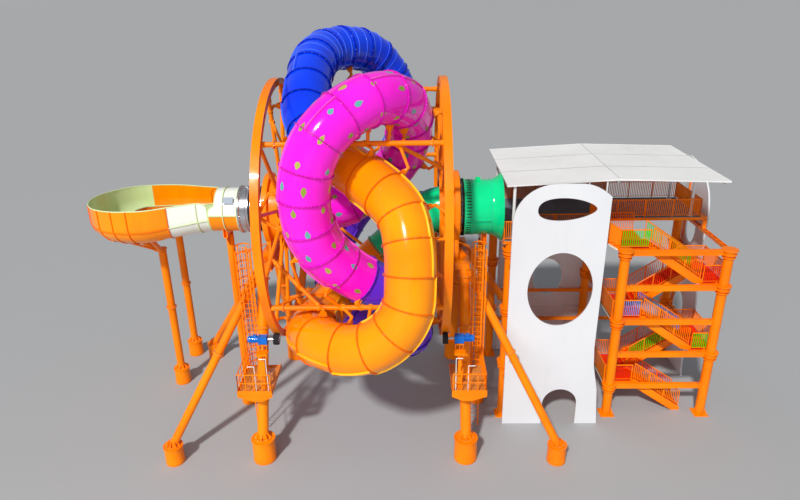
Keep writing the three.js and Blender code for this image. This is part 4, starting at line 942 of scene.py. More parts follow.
for side, words in SIDES:
    platform = Piece()
    x0, x1 = on_side(side, PLATFORM_X[0], PLATFORM_X[1])
    y0, y1 = PLATFORM_Y
    leg_x, leg_y, ladder_x = side * LEG_PLANE, leg_y_at(PLATFORM_Z), side * LADDER_X
    inside_y, edge_z = (y0 + 0.06, y1 - 0.06), (PLATFORM_Z - 0.16, PLATFORM_Z)
    kick_z = (PLATFORM_Z, PLATFORM_Z + 0.12)
    for y in (y0 + 0.03, y1 - 0.03):
        platform.box((x0, x1), about(y, 0.03), edge_z)
    for x in (x0 + 0.03, x1 - 0.03):
        platform.box(about(x, 0.03), inside_y, edge_z)
    for y in np.arange(y0 + 0.12, y1 - 0.08, 0.09):
        gap = 0.31 if abs(y - leg_y) < 0.36 else 0
        ends = [x0 + 0.05, leg_x - gap, leg_x + gap, x1 - 0.05] if gap else [x0 + 0.05, x1 - 0.05]
        for span in zip(ends[::2], ends[1::2]):
            platform.box(span, about(y, 0.008), (PLATFORM_Z - 0.045, PLATFORM_Z - 0.005), 2)
    for x in np.arange(x0 + 0.15, x1 - 0.1, 0.15):
        if abs(x - leg_x) > 0.32:
            platform.box(about(x, 0.006), inside_y, (PLATFORM_Z - 0.02, PLATFORM_Z - 0.004), 2)
    for x in (x0, x1 - 0.012):
        platform.box((x, x + 0.012), (y0, y1), kick_z)
    platform.box((x0, x1), (y0, y0 + 0.012), kick_z)
    fascia = [(x0, 0), (x0, -0.2), (leg_x - 0.25, -0.46), (leg_x + 0.25, -0.46), (x1, -0.2), (x1, 0)]
    for y in (y0 + 0.03, y0 + 0.95):
        platform.plate(fascia, 0.02, (0, y, PLATFORM_Z - 0.1), X_WAY, Z_WAY)
    for x in (x0 + 0.2, x1 - 0.2):
        for y, leg_end, drop in ((y0 + 0.2, leg_y - 0.55, 1.35), (y1 - 0.1, leg_y - 0.1, 1.05)):
            platform.pipe([(x, y, PLATFORM_Z - 0.15), (leg_x, leg_end, PLATFORM_Z - drop)], 0.05, 10)
    platform.band((leg_x, leg_y - 0.53, PLATFORM_Z - 1.2),
        (0, LEG_FOOT - LEG_TOP, LEG_TOP_Z - PEDESTAL_HEIGHT), (-0.15, 0.15),
        (LEG_RADIUS - 0.01, LEG_RADIUS + 0.03), 32, 1)
    inner_x, outer_x = side * (PLATFORM_X[0] + STEP_OUT), side * (PLATFORM_X[1] - STEP_OUT)
    tube_railing(platform, [(inner_x, y0 + STEP_OUT), (outer_x, y0 + STEP_OUT), (outer_x, y1 - 0.12)],
        PLATFORM_Z)
    # the stand that holds the drive against the rim
    stand_x = side * DRIVE_X
    platform.box(about(stand_x, 0.08), about(DRIVE_Y, 0.08), (PLATFORM_Z - 0.02, DRIVE_SHELF - 0.04))
    for turn_to in FOUR_WAYS:
        for foot, up in ((PLATFORM_Z, 1), (DRIVE_SHELF - 0.06, -1)):
            platform.plate([(0.07, 0), (0.24, 0), (0.07, up * 0.34)], 0.016, (stand_x, DRIVE_Y, foot),
                turn_to, Z_WAY, 1)
    platform.box(about(stand_x, 0.3), about(DRIVE_Y, 0.25), (DRIVE_SHELF - 0.06, DRIVE_SHELF))
    platform.beam((stand_x, DRIVE_Y + 0.05, 5.3), (leg_x, -3.75, 5.3), 0.08, 0.12)
    # the ladder, with its hoops on the side away from the leg
    for x in about(ladder_x, LADDER_HALF):
        platform.box(about(x, 0.03), about(LADDER_Y, 0.02), (0.3, LADDER_TOP))
    for z in np.arange(0.6, LADDER_TOP - 0.1, 0.3):
        platform.pipe([(x, LADDER_Y, z) for x in about(ladder_x, LADDER_HALF)], 0.014, 8)
    hoop = [(0.4 * math.cos(q), 0.55 * math.sin(q)) for q in np.linspace(0, math.pi, 11)]
    for z in np.arange(2.6, LADDER_TOP - 0.05, 0.48):
        for (a, b), (c, d) in zip(hoop, hoop[1:]):
            platform.beam((ladder_x + a, LADDER_Y + b, z), (ladder_x + c, LADDER_Y + d, z), 0.02, 0.075)
    for a, b in hoop:
        platform.box(about(ladder_x + a, 0.025), about(LADDER_Y + b, 0.01), (2.57, LADDER_TOP - 0.35))
    for z in (2.0, 7.2, 9.2):
        platform.pipe([(side * (LADDER_X - 0.2), LADDER_Y, z), (leg_x, leg_y_at(z), z)], 0.03, 8)
    for x in about(ladder_x, LADDER_HALF):
        platform.pipe([(x, LADDER_Y, LADDER_TOP - 0.4),
            (side * (HUB_END + YOKE_THICK - 0.04), -1.7, LADDER_TOP - 0.4)], 0.03, 8)
    # white air pipes on the platform's front corner
    for x, high in ((side * 4.95, 1.95), (side * 5.6, 1.5)):
        platform.pipe([(x, -5.52, PLATFORM_Z), (x, -5.52, PLATFORM_Z + high),
            (x + side * 0.35, -5.52, PLATFORM_Z + high)], 0.027, 12, 3)
    platform.finish(f"service_platform_{words}", "steelwork", painted_steel[0] + [galvanised, white_pipe],
        painted_steel[1])

# Rim drives: a rubber-tyred roller under the rim, turned by a finned motor through a gearbox
# that stands on the shelf of the drive stand.
ROLLER_Y, ROLLER_Z, ROLLER_RADIUS, MOTOR_RADIUS, GEARBOX_FOOT = -4.927, 7.313, 0.3, 0.19, 7.06
# out from the middle in X: the gearbox, the motor's flange, its fins and its terminal box
GEARBOX_X, MOTOR_X, FINS_X, TERMINAL_X = (4.9, 5.35), 5.34, (5.38, 5.73), (5.44, 5.64)
motor_blue = finish_of("motor_blue", (0.01, 0.16, 0.62), (0.008, 0.12, 0.5), 0.35, 0.3, streaks=0.3)
tyre_rubber = finish_of("tyre_rubber", (0.02, 0.02, 0.022), (0.03, 0.03, 0.03), 0.8, grain=0.4,
    streaks=0.05)
bright_steel = finish_of("bright_steel", (0.72, 0.73, 0.75), (0.6, 0.61, 0.63), 0.22, metal=1.0,
    streaks=0.12)
for side, words in SIDES:
    drive = Piece()
    centre = np.array((0, ROLLER_Y, ROLLER_Z))
    roller = centre + (side * FRAME_PLANE, 0, 0)
    r = ROLLER_RADIUS
    drive.turned(roller, X_WAY, [(-0.14, r - 0.08), (-0.14, r - 0.02), (-0.11, r), (0.11, r),
        (0.14, r - 0.02), (0.14, r - 0.08)], 40, 1)
    drive.turned(roller, X_WAY, [(-0.12, 0.02), (-0.12, 0.1), (-0.06, 0.12), (-0.06, r - 0.09),
        (-0.135, r - 0.08), (0.135, r - 0.08), (0.06, r - 0.09), (0.06, 0.12), (0.12, 0.1), (0.12, 0.02)],
        40, 2)
    bolt_circle(centre + (side * FRAME_PLANE - 0.062, 0, 0), (-1, 0, 0), 0.16, 8)
    drive.pipe([centre + (side * (FRAME_PLANE + 0.1), 0, 0), centre + (side * 5.0, 0, 0)], 0.07, 20, 2)
    g0, g1 = on_side(side, *GEARBOX_X)
    b = 0.03
    for x in (g0, g1 - 0.05):
        drive.box((x, x + 0.05), (ROLLER_Y - 0.2, ROLLER_Y + 0.22), (GEARBOX_FOOT, ROLLER_Z + 0.2))
    drive.box((g0 + 0.05, g1 - 0.05), (ROLLER_Y - 0.2 + b, ROLLER_Y + 0.22 - b),
        (GEARBOX_FOOT + b, ROLLER_Z + 0.2 - b))
    drive.box((g0 - 0.02, g1 + 0.02), about(ROLLER_Y, 0.24), (GEARBOX_FOOT - 0.03, GEARBOX_FOOT), 3)
    for x in (g0 + 0.02, (g0 + g1) / 2, g1 - 0.04):
        high = GEARBOX_FOOT - DRIVE_SHELF - 0.03
        drive.plate([(-0.22, 0), (0.2, 0), (0.16, high), (-0.16, high)], 0.02,
                    (x + 0.02, ROLLER_Y, DRIVE_SHELF + 0.002), Y_WAY, Z_WAY, 3)
    for z in np.arange(GEARBOX_FOOT + 0.08, ROLLER_Z + 0.16, 0.08):
        drive.box((g0 + 0.05, g1 - 0.05), (ROLLER_Y - 0.195, ROLLER_Y + 0.215), (z, z + 0.014))
    drive.box((g0, g1), (DRIVE_Y - 0.2, ROLLER_Y - 0.1), (DRIVE_SHELF + 0.002, DRIVE_SHELF + 0.03), 3)
    drive.turned(centre + (side * 4.895, 0, 0), (side, 0, 0),
        [(-0.03, 0.07), (-0.03, 0.14), (0.01, 0.15), (0.01, 0.07)], 28)
    bolt_circle(centre + (side * 4.87, 0, 0), (-side, 0, 0), 0.115, 8)
    m = MOTOR_RADIUS
    drive.turned(centre + (side * MOTOR_X, 0, 0), (side, 0, 0),
        [(0, 0.02), (0, m), (0.03, m), (0.03, m - 0.035), (0.4, m - 0.035), (0.4, m - 0.01),
        (0.52, m - 0.01), (0.555, m - 0.04), (0.555, 0.02)], 36)
    for i in range(28):
        q = 2 * math.pi * i / 28
        out = ray(q)
        x0, x1 = on_side(side, *FINS_X)
        drive.plate([(x0, m - 0.04), (x1, m - 0.04), (x1, m - 0.006), (x0, m - 0.006)], 0.008,
                    centre - 0.004 * np.cross(X_WAY, out), X_WAY, out)
    x0, x1 = on_side(side, *TERMINAL_X)
    drive.box((x0, x1), about(ROLLER_Y, 0.09), (ROLLER_Z + m - 0.03, ROLLER_Z + m + 0.06))
    drive.finish(f"drive_unit_{words}", "assembly", [motor_blue, tyre_rubber, bright_steel, orange_paint],
        "motor_blue")
bolts("drive_bolts", steel_bolts, 0.032)

# The entry: a ribbed rubber seal ring with a steel clamp band, then the fixed green mouth,
# moulded in two halves, on a steel post with a saddle.
SEAL_X, MOUTH_X, MOUTH_END, MOUTH_RADIUS, MOUTH_FLARE = (5.3003, 5.5603), 5.5606, 7.64, 1.53, 1.9
steel_bolts = []
seal_rubber = finish_of("seal_rubber", (0.012, 0.012, 0.014), (0.03, 0.03, 0.03), 0.7, grain=0.2,
    streaks=0.1)
seal = Piece()
ridge = [(SEAL_X[0], 1.36), (SEAL_X[0], 1.57)]
for k in range(4):
    x = SEAL_X[0] + 0.03 + 0.065 * k
    ridge += [(x, 1.6), (x + 0.03, 1.6), (x + 0.045, 1.55)]
ridge += [(SEAL_X[1], 1.57), (SEAL_X[1], 1.36)]
seal.turned(AXLE, X_WAY, ridge, 120)
seal.band(AXLE, X_WAY, (5.39, 5.42), (1.56, 1.6), 120, 1)
seal.finish("entry_seal_ring", "rubber", [seal_rubber, bright_steel], "seal_rubber")

mouth = Piece()
flare = [(7.04 + 0.6 * k / 10, MOUTH_RADIUS + (MOUTH_FLARE - 0.03 - MOUTH_RADIUS) * (k / 10) ** 1.7)
    for k in range(11)]
outside = [(MOUTH_X, MOUTH_RADIUS - 0.01), (MOUTH_X, 1.595), (MOUTH_X + 0.05, 1.595),
    (MOUTH_X + 0.055, MOUTH_RADIUS)] + flare
outside += [(MOUTH_END - 0.03, MOUTH_FLARE), (MOUTH_END, MOUTH_FLARE - 0.015)]
inside = [(MOUTH_END, MOUTH_FLARE - 0.07)] + [(x, r - 0.06) for x, r in reversed(flare[:-1])]
inside += [(MOUTH_X, MOUTH_RADIUS - 0.06)]
mouth.turned(AXLE, X_WAY, outside + inside, 120)
# the bands and the joint plates take the lighter lip tone, a painted highlight
for x in (6.05, 7.03):
    mouth.turned(AXLE, X_WAY, [(x - 0.03, 1.52), (x - 0.025, 1.57), (x + 0.025, 1.57), (x + 0.03, 1.52)],
        120, 1)
for q in (math.radians(101), math.radians(281)):
    out = np.array((0, -math.sin(q), math.cos(q)))
    for offset in (0.03, -0.004):
        mouth.plate([(5.64, 1.5), (7.0, 1.5), (7.0, 1.59), (5.64, 1.59)], 0.026,
                    AXLE + offset * np.cross(X_WAY, out), X_WAY, out, 1)
mouth.box((6.2, 6.5), (-0.02, 0.02), (axle.z + 1.5, axle.z + 1.72))
for i in range(56):
    q = 2 * math.pi * (i + 0.5) / 56
    out = ray(q)
    mouth.plate([(5.68, 1.5), (5.94, 1.5), (5.94, MOUTH_RADIUS + 0.006), (5.68, MOUTH_RADIUS + 0.006)],
        0.05, AXLE + 0.025 * np.cross(X_WAY, out), X_WAY, out, 2)
bolt_circle((MOUTH_X + 0.05, 0, axle.z), X_WAY, 1.565, 48)
mouth.finish("entry_housing", "shell", [shell_finishes["green"], lip_highlight_finishes["green"], seal_rubber],
    "green_shell")


def saddle_post(name, x, half, half_y, z0, z1, bore, radius, foot_height, foot_radius):
    """A post on its drum, with two saddle plates cut to the shell above and a web between."""
    post = Piece()
    edge = [(-half_y, z0), (half_y, z0), (half_y, z1)]
    reach = math.asin(min(1, half_y / bore)) * 0.985
    arc = [(bore * math.sin(q), axle.z - bore * math.cos(q)) for q in np.linspace(reach, -reach, 25)]
    edge += [(y, z) for y, z in arc if z0 + 0.05 < z] + [(-half_y, z1)]
    for at in (x - half + 0.03, x + half):
        post.plate(edge, 0.03, (at, 0, 0), Y_WAY, Z_WAY)
    for y in (-0.55, 0.0, 0.55):
        top = axle.z - math.sqrt(bore ** 2 - y * y) - 0.01
        post.box((x - half + 0.02, x + half - 0.02), about(y, 0.015), (z0, top))
    post.box(about(x, half), (-half_y, half_y), (z0, z0 + 0.035))
    post.pipe([(x, 0, foot_height), (x, 0, z0 + 0.01)], radius, 32)
    for q in range(4):
        out = np.array((math.cos(q * math.pi / 2), math.sin(q * math.pi / 2), 0))
        reach = half if q % 2 == 0 else half_y
        if reach > radius:
            post.plate([(radius - 0.02, 0), (reach - 0.02, 0), (radius - 0.02, -0.7)], 0.025,
                       np.array((x, 0, z0 + 0.01)) + 0.0125 * np.cross(Z_WAY, out), out, Z_WAY)
    flange_pair(post, (x, 0, 0.55 * z0), Z_WAY, radius, 0.08)
    pedestal(post, x, 0, foot_radius, foot_height, radius)
    post.finish(name, "tube", *painted_steel)


saddle_post("entry_post", 6.7, 0.15, 0.9, 10.95, 11.5, MOUTH_RADIUS + SEAT, 0.22, 1.0, 0.45)

# The exit: a polished steel swivel joint with clamp rings, then a closed length of shell that
# is cut back above two low walls. It is cream above and orange below and inside, with a rolled
# lip, a vent box on the near side and a small upright wall on the far side. That wall's rim is a
# darker orange, which is painted shade.
JOINT_X, COVER_END, CHUTE_RADIUS = (-5.3003, -6.8), -8.3997, 1.18
joint = Piece()
j0, j1 = JOINT_X
joint.turned(AXLE, X_WAY, [(j0, 1.19), (j0, 1.36), (j0 - 0.02, 1.4), (j0 - 0.1, 1.4), (j0 - 0.12, 1.36),
    (j0 - 0.13, 1.27), (j0 - 0.5, 1.255), (j0 - 0.52, 1.3), (j0 - 0.6, 1.3), (j0 - 0.62, 1.255),
    (j1 + 0.46, 1.255), (j1 + 0.45, 1.3), (j1 + 0.38, 1.3), (j1 + 0.37, 1.255), (j1 + 0.13, 1.26),
    (j1 + 0.12, 1.32), (j1 + 0.1, 1.34), (j1, 1.34), (j1, 1.19)], 120)
for x in (j0 - 0.3, j0 - 0.86):
    joint.band(AXLE, X_WAY, about(x, 0.05), (1.2, 1.29), 120, 1)
for degrees in range(0, 360, 45):
    q = math.radians(degrees + 12)
    out = ray(q)
    joint.plate([(j0 - 0.5, 1.24), (j0 - 0.14, 1.24), (j0 - 0.14, 1.36), (j0 - 0.3, 1.3)], 0.02, AXLE,
        X_WAY, out)
bolt_circle((j0 - 0.12, 0, axle.z), (-1, 0, 0), 1.335, 40)
bolt_circle((j1 + 0.12, 0, axle.z), X_WAY, 1.3, 40)
for x in (j0 - 0.56, j1 + 0.41):
    joint.box(about(x, 0.05), (-0.05, 0.05), (axle.z + 1.28, axle.z + 1.36))
joint.finish("exit_swivel_joint", "rings", [bright_steel, seal_rubber], "joint_steel")

cream_coat = finish_of("cream_gel_coat", (0.8, 0.84, 0.78), (0.76, 0.81, 0.72), 0.22, 0.3, streaks=0.12)
cream_lip = finish_of("pale_green_lip", (0.66, 0.8, 0.42), (0.58, 0.74, 0.36), 0.3, 0.3)
lime_coat = finish_of("lime_gel_coat", (0.68, 0.82, 0.46), (0.6, 0.76, 0.34), 0.22, 0.3, streaks=0.12)
vent_grey = finish_of("vent_box_grey", (0.36, 0.42, 0.5), (0.28, 0.34, 0.42), 0.4, 0.2)
cover = Piece()
COVER_SIDES, COVER_RADIUS, COVER_WALL, LIP_RADIUS, VENT_ANGLE = 96, 1.225, 0.035, 1.21, math.radians(38)


def cover_edge(z):
    """How far left the closed length reaches: it is cut back above a low wall on each side."""
    return COVER_END + 0.35 * min(1.0, max(0.0, (z - axle.z - 0.22) / 0.3)) ** 2


def cover_row(radius, k, span):
    """The places across the cover at step k of LENGTHWISE, from its open end to the joint."""
    round_it = [(radius * math.cos(q), axle.z + radius * math.sin(q)) for q in span]
    return [(cover_edge(z) + (j1 - SEAT - cover_edge(z)) * k / LENGTHWISE, y, z) for y, z in round_it]


LENGTHWISE = 14
for first, outer_kind in ((0.0, 0), (math.pi, 1)):
    span = np.linspace(first, first + math.pi, COVER_SIDES // 2 + 1)
    inner, outer = ([cover_row(radius, k, span) for k in range(LENGTHWISE + 1)]
                    for radius in (COVER_RADIUS - COVER_WALL, COVER_RADIUS))
    cover.thin_shell(inner, outer, lambda i, m: [1, outer_kind], 1)
    cover.pipe(cover_row(LIP_RADIUS, 0, span), 0.03, 10, 2)
for y in (-1, 1):
    for low, high in ((0.004, 0.03), (-0.03, -0.004)):
        cover.box((COVER_END + 0.04, j1 - 0.06), (y * 1.2, y * 1.29), (axle.z + low, axle.z + high), 2)
for x in (j1 - 0.03, -7.6):
    cover.band((x, 0, axle.z), X_WAY, (-0.022, 0.022), (LIP_RADIUS, 1.285), COVER_SIDES, 2)
vent_out = np.array((0, -math.cos(VENT_ANGLE), math.sin(VENT_ANGLE)))
for reach, half_long, wide, deep in ((1.27, 0.24, 0.3, 0.14), (1.35, 0.27, 0.36, 0.03)):
    middle = np.array((-7.25, 0, axle.z)) + reach * vent_out
    cover.beam(middle - (half_long, 0, 0), middle + (half_long, 0, 0), wide, deep, 3, up=vent_out)
corner = [(COVER_END - 0.15 - 0.3 * math.sin(q), 0.54 + 0.3 * math.cos(q))
    for q in np.linspace(0, math.pi / 2, 9)]
far_wall = [(COVER_END + 0.4, 0.03), (COVER_END + 0.4, 0.84)] + corner + [(COVER_END - 0.45, 0.03)]
cover.plate(far_wall, 0.035, (0, 1.2, axle.z), X_WAY, Z_WAY, 1)
# the wall's rolled rim takes the darker rim tone, a painted shade for the gap behind it
cover.pipe([(x, 1.2, axle.z + z) for x, z in far_wall[1:]], 0.028, 8, 4)
cover.finish("exit_cover_tube", "shell", [cream_coat, shell_finishes["orange"], cream_lip, vent_grey,
    rim_shade_finishes["orange"]], "cream_shell")
saddle_post("exit_column", -7.7, 0.12, 0.8, 11.4, 12.0, 1.2303, 0.22, 1.0, 0.45)

# The run-out chute: open half shells with one tall wall on the outer side, bolted together
# through ribs. Cream at first and orange round the bend, lime inside, with a rolled lip. On the
# orange part the ribs and the side seam are a darker orange, which is painted shade.
chute_line = smooth_line([(-8.4, 0, 12.85), (-9.2, 0, 12.73), (-10.8, -0.15, 12.47), (-12.5, -0.4, 12.25)]
    + [(-12.5 - 2.5 * math.sin(math.radians(d)), 2.1 - 2.5 * math.cos(math.radians(d)), 12.25 - 0.0016 * d)
    for d in (45, 90, 135, 180)] + [(-10.8, 4.75, 11.9), (-9.2, 4.8, 11.87)], PER_SPAN)
outward = []
for i in range(len(chute_line)):
    ahead = chute_line[min(i + 1, len(chute_line) - 1)] - chute_line[max(i - 1, 0)]
    ahead[2] = 0
    ahead /= np.linalg.norm(ahead)
    outward.append(np.array((-ahead[1], ahead[0], 0.0)))
UP = np.array((0.0, 0.0, 1.0))
THIN = 0.03


def chute_points(radius, outer_wall, inner_wall):
    """Half a round with two upright walls, as (towards the outer side, up)."""
    arc = [(radius * math.cos(q), radius * math.sin(q)) for q in np.linspace(0, -math.pi, 25)]
    return [(radius, outer_wall)] + arc + [(-radius, inner_wall)]


CREAM_END, ORANGE_WALL_FROM = -10.8, 6.4


def trough(first, last, walls, ribs, end_band=0, rounded=0.0):
    """One length of the chute, from span first to span last, with its lips, ribs and side seam."""
    shape = Piece()
    run = range(first * PER_SPAN, last * PER_SPAN + 1)
    n = len(run)
    heights = np.linspace(walls[0], walls[1], n)
    for i in range(n):
        from_end = abs(chute_line[run[i]][0] - chute_line[run[0]][0])
        if from_end < rounded:
            heights[i] *= 0.4 + 0.6 * math.sqrt(1 - (1 - from_end / rounded) ** 2)
    rows_out, rows_in = (
        [[chute_line[i] + a * outward[i] + b * UP for a, b in chute_points(radius, high, 0.02)]
         for i, high in zip(run, heights)] for radius in (CHUTE_RADIUS, CHUTE_RADIUS - THIN))
    k = len(rows_out[0])

    def is_cream(i):
        return chute_line[run[i]][0] > CREAM_END and run[i] < 4 * PER_SPAN

    def kinds_at(i, m):
        if end_band and i >= n - 1 - end_band:
            return [0, 0]
        orange_wall = run[i] > ORANGE_WALL_FROM * PER_SPAN and (m < 8 or m > k - 9)
        return [0 if is_cream(i) else 1, 1 if orange_wall else 3]

    shape.thin_shell(rows_out, rows_in, kinds_at, 2)
    for column, inset in ((0, THIN / 2), (k - 1, -THIN / 2)):
        lip_path = [np.array(row[column]) - inset * outward[i] for i, row in zip(run, rows_out)]
        shape.pipe(lip_path, 0.034, 10, 2)
    for share in ribs:
        i = int(round(share * (n - 1)))
        # ribs on the orange part take the darker rim tone, a painted shade
        rib_kind = 2 if is_cream(i) else 4
        side, high = outward[run[i]], heights[i]
        place = chute_line[run[i]]
        ahead = np.cross(UP, side)
        edge = chute_points(CHUTE_RADIUS - 0.01, high - 0.01, 0.0)
        rim = chute_points(CHUTE_RADIUS + 0.045, high - 0.01, 0.0)
        outline = edge + rim[::-1]
        n_out = 2 * k
        caps = [(m, m + 1, n_out - 2 - m, n_out - 1 - m) for m in range(k - 1)]
        walls_of = [(m, m + 1, n_out + m + 1, n_out + m) for m in range(n_out - 1)]
        for offset in (0.012, 0.04):
            places = [place + a * side + b * UP + at * ahead for at in (offset, offset - 0.024)
                      for a, b in outline]
            shape.put(places, [face[::-1] for face in caps]
                + [tuple(n_out + q for q in face) for face in caps] + walls_of
                + [(n_out - 1, 0, n_out, 2 * n_out - 1)], rib_kind)
    seam = {i: chute_line[i] + (CHUTE_RADIUS + 0.012) * outward[i] * 0.985 - 0.28 * UP for i in run}
    # past the turn the seam takes the darker rim tone, a painted shade
    turn_at = 2 * PER_SPAN
    for part, kind in (([i for i in run if i <= turn_at], 2), ([i for i in run if i >= turn_at], 4)):
        if len(part) > 1:
            shape.pipe([seam[i] for i in part], 0.026, 8, kind)
    return shape


chute_finishes = [cream_coat, shell_finishes["orange"], cream_lip, lime_coat, rim_shade_finishes["orange"]]
near = trough(0, 3, (0.7, 1.0), [0.02, 0.3, 0.667], rounded=0.45)
near.finish("chute_near_trough", "shell", chute_finishes, "cream_shell")
bend = trough(3, 7, (1.0, 0.7), [0.01, 0.107, 0.2, 0.33, 0.48, 0.64, 0.8, 0.99])
bend.finish("chute_bend_trough", "shell", chute_finishes, "orange_shell")
far = trough(7, 9, (0.7, 0.45), [0.02, 0.45, 0.97], 5)
far.finish("chute_far_trough", "shell", chute_finishes, "orange_shell")

# Columns under the chute: a round post on its drum, forked arms, and a curved saddle band
# bolted under the trough at the head of each arm.
chute_feet = {
    "chute_column_front": ((-12.69, 2.26), [(-12.3, -0.25, 11.3), (-14.85, 1.5, 11.15)], (-13.95, 0.0, 11.0)),
    "chute_column_rear": ((-12.93, 5.85), [(-12.6, 4.7, 10.9), (-11.0, 4.78, 10.9)], (-14.1, 4.6, 10.8)),
}
FORK_Z = 9.6
for name, ((x, y), heads, thin_head) in chute_feet.items():
    column = Piece()
    column.pipe([(x, y, 1.1), (x, y, FORK_Z)], 0.24, 32)
    column.band((x, y, FORK_Z), Z_WAY, (-0.02, 0.03), (0.02, 0.3), 32, 1)
    flange_pair(column, (x, y, 5.6), Z_WAY, 0.24, 0.08)
    pedestal(column, x, y, 0.48, 1.1, 0.24)
    for head, radius in [(h, 0.15) for h in heads] + [(thin_head, 0.06)]:
        start, end = np.array((x, y, FORK_Z - 0.2)), np.array(head)
        end = end + (end - start) * 0.25
        for share in np.linspace(0, 1, 200):
            tip = start + share * (end - start)
            gaps = np.linalg.norm(chute_line - tip, axis=1)
            i = int(np.argmin(gaps))
            if gaps[i] < CHUTE_RADIUS + 0.02:
                break
        column.pipe([start, tip], radius, 20)
        column.pipe([start + 0.12 * (tip - start), start + 0.2 * (tip - start)], radius + 0.03, 20, 1)
        side_to, ahead = outward[i], np.cross(UP, outward[i])
        lean = math.atan2((tip - chute_line[i]) @ UP, (tip - chute_line[i]) @ side_to)
        span = np.linspace(lean - 0.55, lean + 0.55, 13)
        band = [chute_line[i] + (CHUTE_RADIUS + 0.025) * (math.cos(q) * side_to + math.sin(q) * UP)
            for q in span if math.sin(q) < -0.02]
        for (p0, p1) in zip(band, band[1:]):
            outwards = (p0 + p1) / 2 - chute_line[i]
            column.beam(p0, p1, 0.3 if radius > 0.1 else 0.16, 0.03, 1, up=outwards)
    column.finish(name, "tube", *painted_steel)
bolts("hub_and_chute_bolts", steel_bolts, 0.045)

# Tower columns: round steel tube in lengths, joined by pairs of thick collars at the landings.
# Each stands on a square base plate with gussets and anchor bolts, and ties cross at the rear.
HALF_STOREY, DECK_TOP, DECK_BOTTOM = 2.147, 11.45, 11.25
COLUMN_X, COLUMN_Y, COLUMN_RADIUS, BASE_HALF = (8.1, 14.45, 20.1), (-1.4, 5.6), 0.275, 0.42
COLLAR_DROP = 0.45
REAR_TIES = (5.07, 2.9)
collar_heights = ((3.8, 7.35, 10.9), (HALF_STOREY, 3 * HALF_STOREY, 5 * HALF_STOREY),
                  (2 * HALF_STOREY, 4 * HALF_STOREY, 5 * HALF_STOREY))
steel_bolts = []
for i, across in enumerate(("left", "middle", "right")):
    for k, end in enumerate(("front", "rear")):
        x, y = COLUMN_X[i], COLUMN_Y[k]
        top = 5 * HALF_STOREY + 0.04 if i and not k else DECK_BOTTOM
        column = Piece()
        column.pipe([(x, y, 0.04), (x, y, top)], COLUMN_RADIUS, 40)
        column.box(about(x, BASE_HALF), about(y, BASE_HALF), (0, 0.05), 1)
        for turn_to in FOUR_WAYS:
            half = 0.01 * np.cross(turn_to, Z_WAY)
            column.plate([(0.26, 0.045), (0.4, 0.045), (0.4, 0.08), (0.26, 0.5)], 0.02, (x, y, 0) + half,
                turn_to, Z_WAY)
        bolt_circle((x, y, 0.05), Z_WAY, 0.5, 4, math.pi / 4)
        for z in collar_heights[i]:
            column.turned((x, y, z), Z_WAY, [(-0.3, 0.02), (-0.3, 0.4), (-0.26, 0.4), (-0.26, 0.34),
                (-0.07, 0.34), (-0.07, 0.44), (0.02, 0.44), (0.02, 0.02)], 40)
            column.band((x, y, z - COLLAR_DROP), Z_WAY, (-0.03, 0.02), (0.02, 0.36), 40)
            bolt_circle((x, y, z - 0.3), (0, 0, -1), 0.36, 12)
        column.finish(f"tower_column_{across}_{end}", "tube", *painted_steel)
ties = Piece()
for z in REAR_TIES:
    for x0, x1 in ((COLUMN_X[0], COLUMN_X[1]), (COLUMN_X[1], COLUMN_X[2])):
        y = COLUMN_Y[1] - 0.16
        ties.box((x0, x1), about(y, 0.09), about(z, 0.1))
        for x in (x0 + 0.36, x1 - 0.36):
            ties.box(about(x, 0.02), about(y, 0.15), about(z, 0.16), 1)
ties.finish("tower_rear", "ties", *painted_steel, node="")

# Landings: a red floor plate on channel edges and joists, with one beam back to the rear column
# and one across the front. Bar railings guard them, and the left ends have a solid parapet.
SLAB, BALUSTER_GAP, BALUSTER_RADIUS, GUARD_RADIUS = 0.16, 0.11, 0.024, 0.035
LANDING_Y, LEFT_X, RIGHT_X = (-1.1456, 1.9), (14.15, 15.85), (19.0, 20.35)
tread_red = finish_of("red_tread_plate", (0.9, 0.03, 0.0), (0.72, 0.02, 0.0), 0.45, grain=0.25, streaks=0.3)
pale_trim = finish_of("pale_trim", (0.8, 0.76, 0.66), (0.68, 0.62, 0.5), 0.4, streaks=0.2)
bar_finishes = {
    "orange": (orange_paint, "orange_paint"),
    "green": (finish_of("green_bar_paint", (0.12, 0.75, 0.0), (0.05, 0.6, 0.0), 0.3, 0.2), "green_shell"),
    "red": (finish_of("red_bar_paint", (0.95, 0.03, 0.0), (0.8, 0.02, 0.0), 0.3, 0.2), "red_tread"),
    "blue": (finish_of("blue_bar_paint", (0.25, 0.4, 0.8), (0.1, 0.25, 0.65), 0.3, 0.2), "motor_blue"),
}
bars = {colour: [] for colour in bar_finishes}


def guard(shape, start, end, colour, post_gap=1.6, low_rail=0.1):
    """Rails and posts from start to end at floor height. The upright bars go on the colour's list."""
    a, b = np.array(start, float), np.array(end, float)
    top, low = np.array((0, 0, RAIL_HEIGHT - GUARD_RADIUS)), np.array((0, 0, low_rail))
    shape.pipe([a + top, b + top], GUARD_RADIUS, 10)
    shape.pipe([a + low, b + low], 0.022, 8)
    span = np.linalg.norm((b - a)[:2])
    bays = max(1, int(round(span / post_gap)))
    for k in range(bays + 1):
        foot = a + (b - a) * k / bays
        shape.pipe([foot, foot + top], 0.03, 10)
    count = max(2, int(round(span / BALUSTER_GAP)))
    for k in range(1, count):
        foot = a + (b - a) * k / count + low
        bars[colour].append((foot, X_WAY, Z_WAY, (BALUSTER_RADIUS, BALUSTER_RADIUS,
            RAIL_HEIGHT - GUARD_RADIUS - low_rail)))


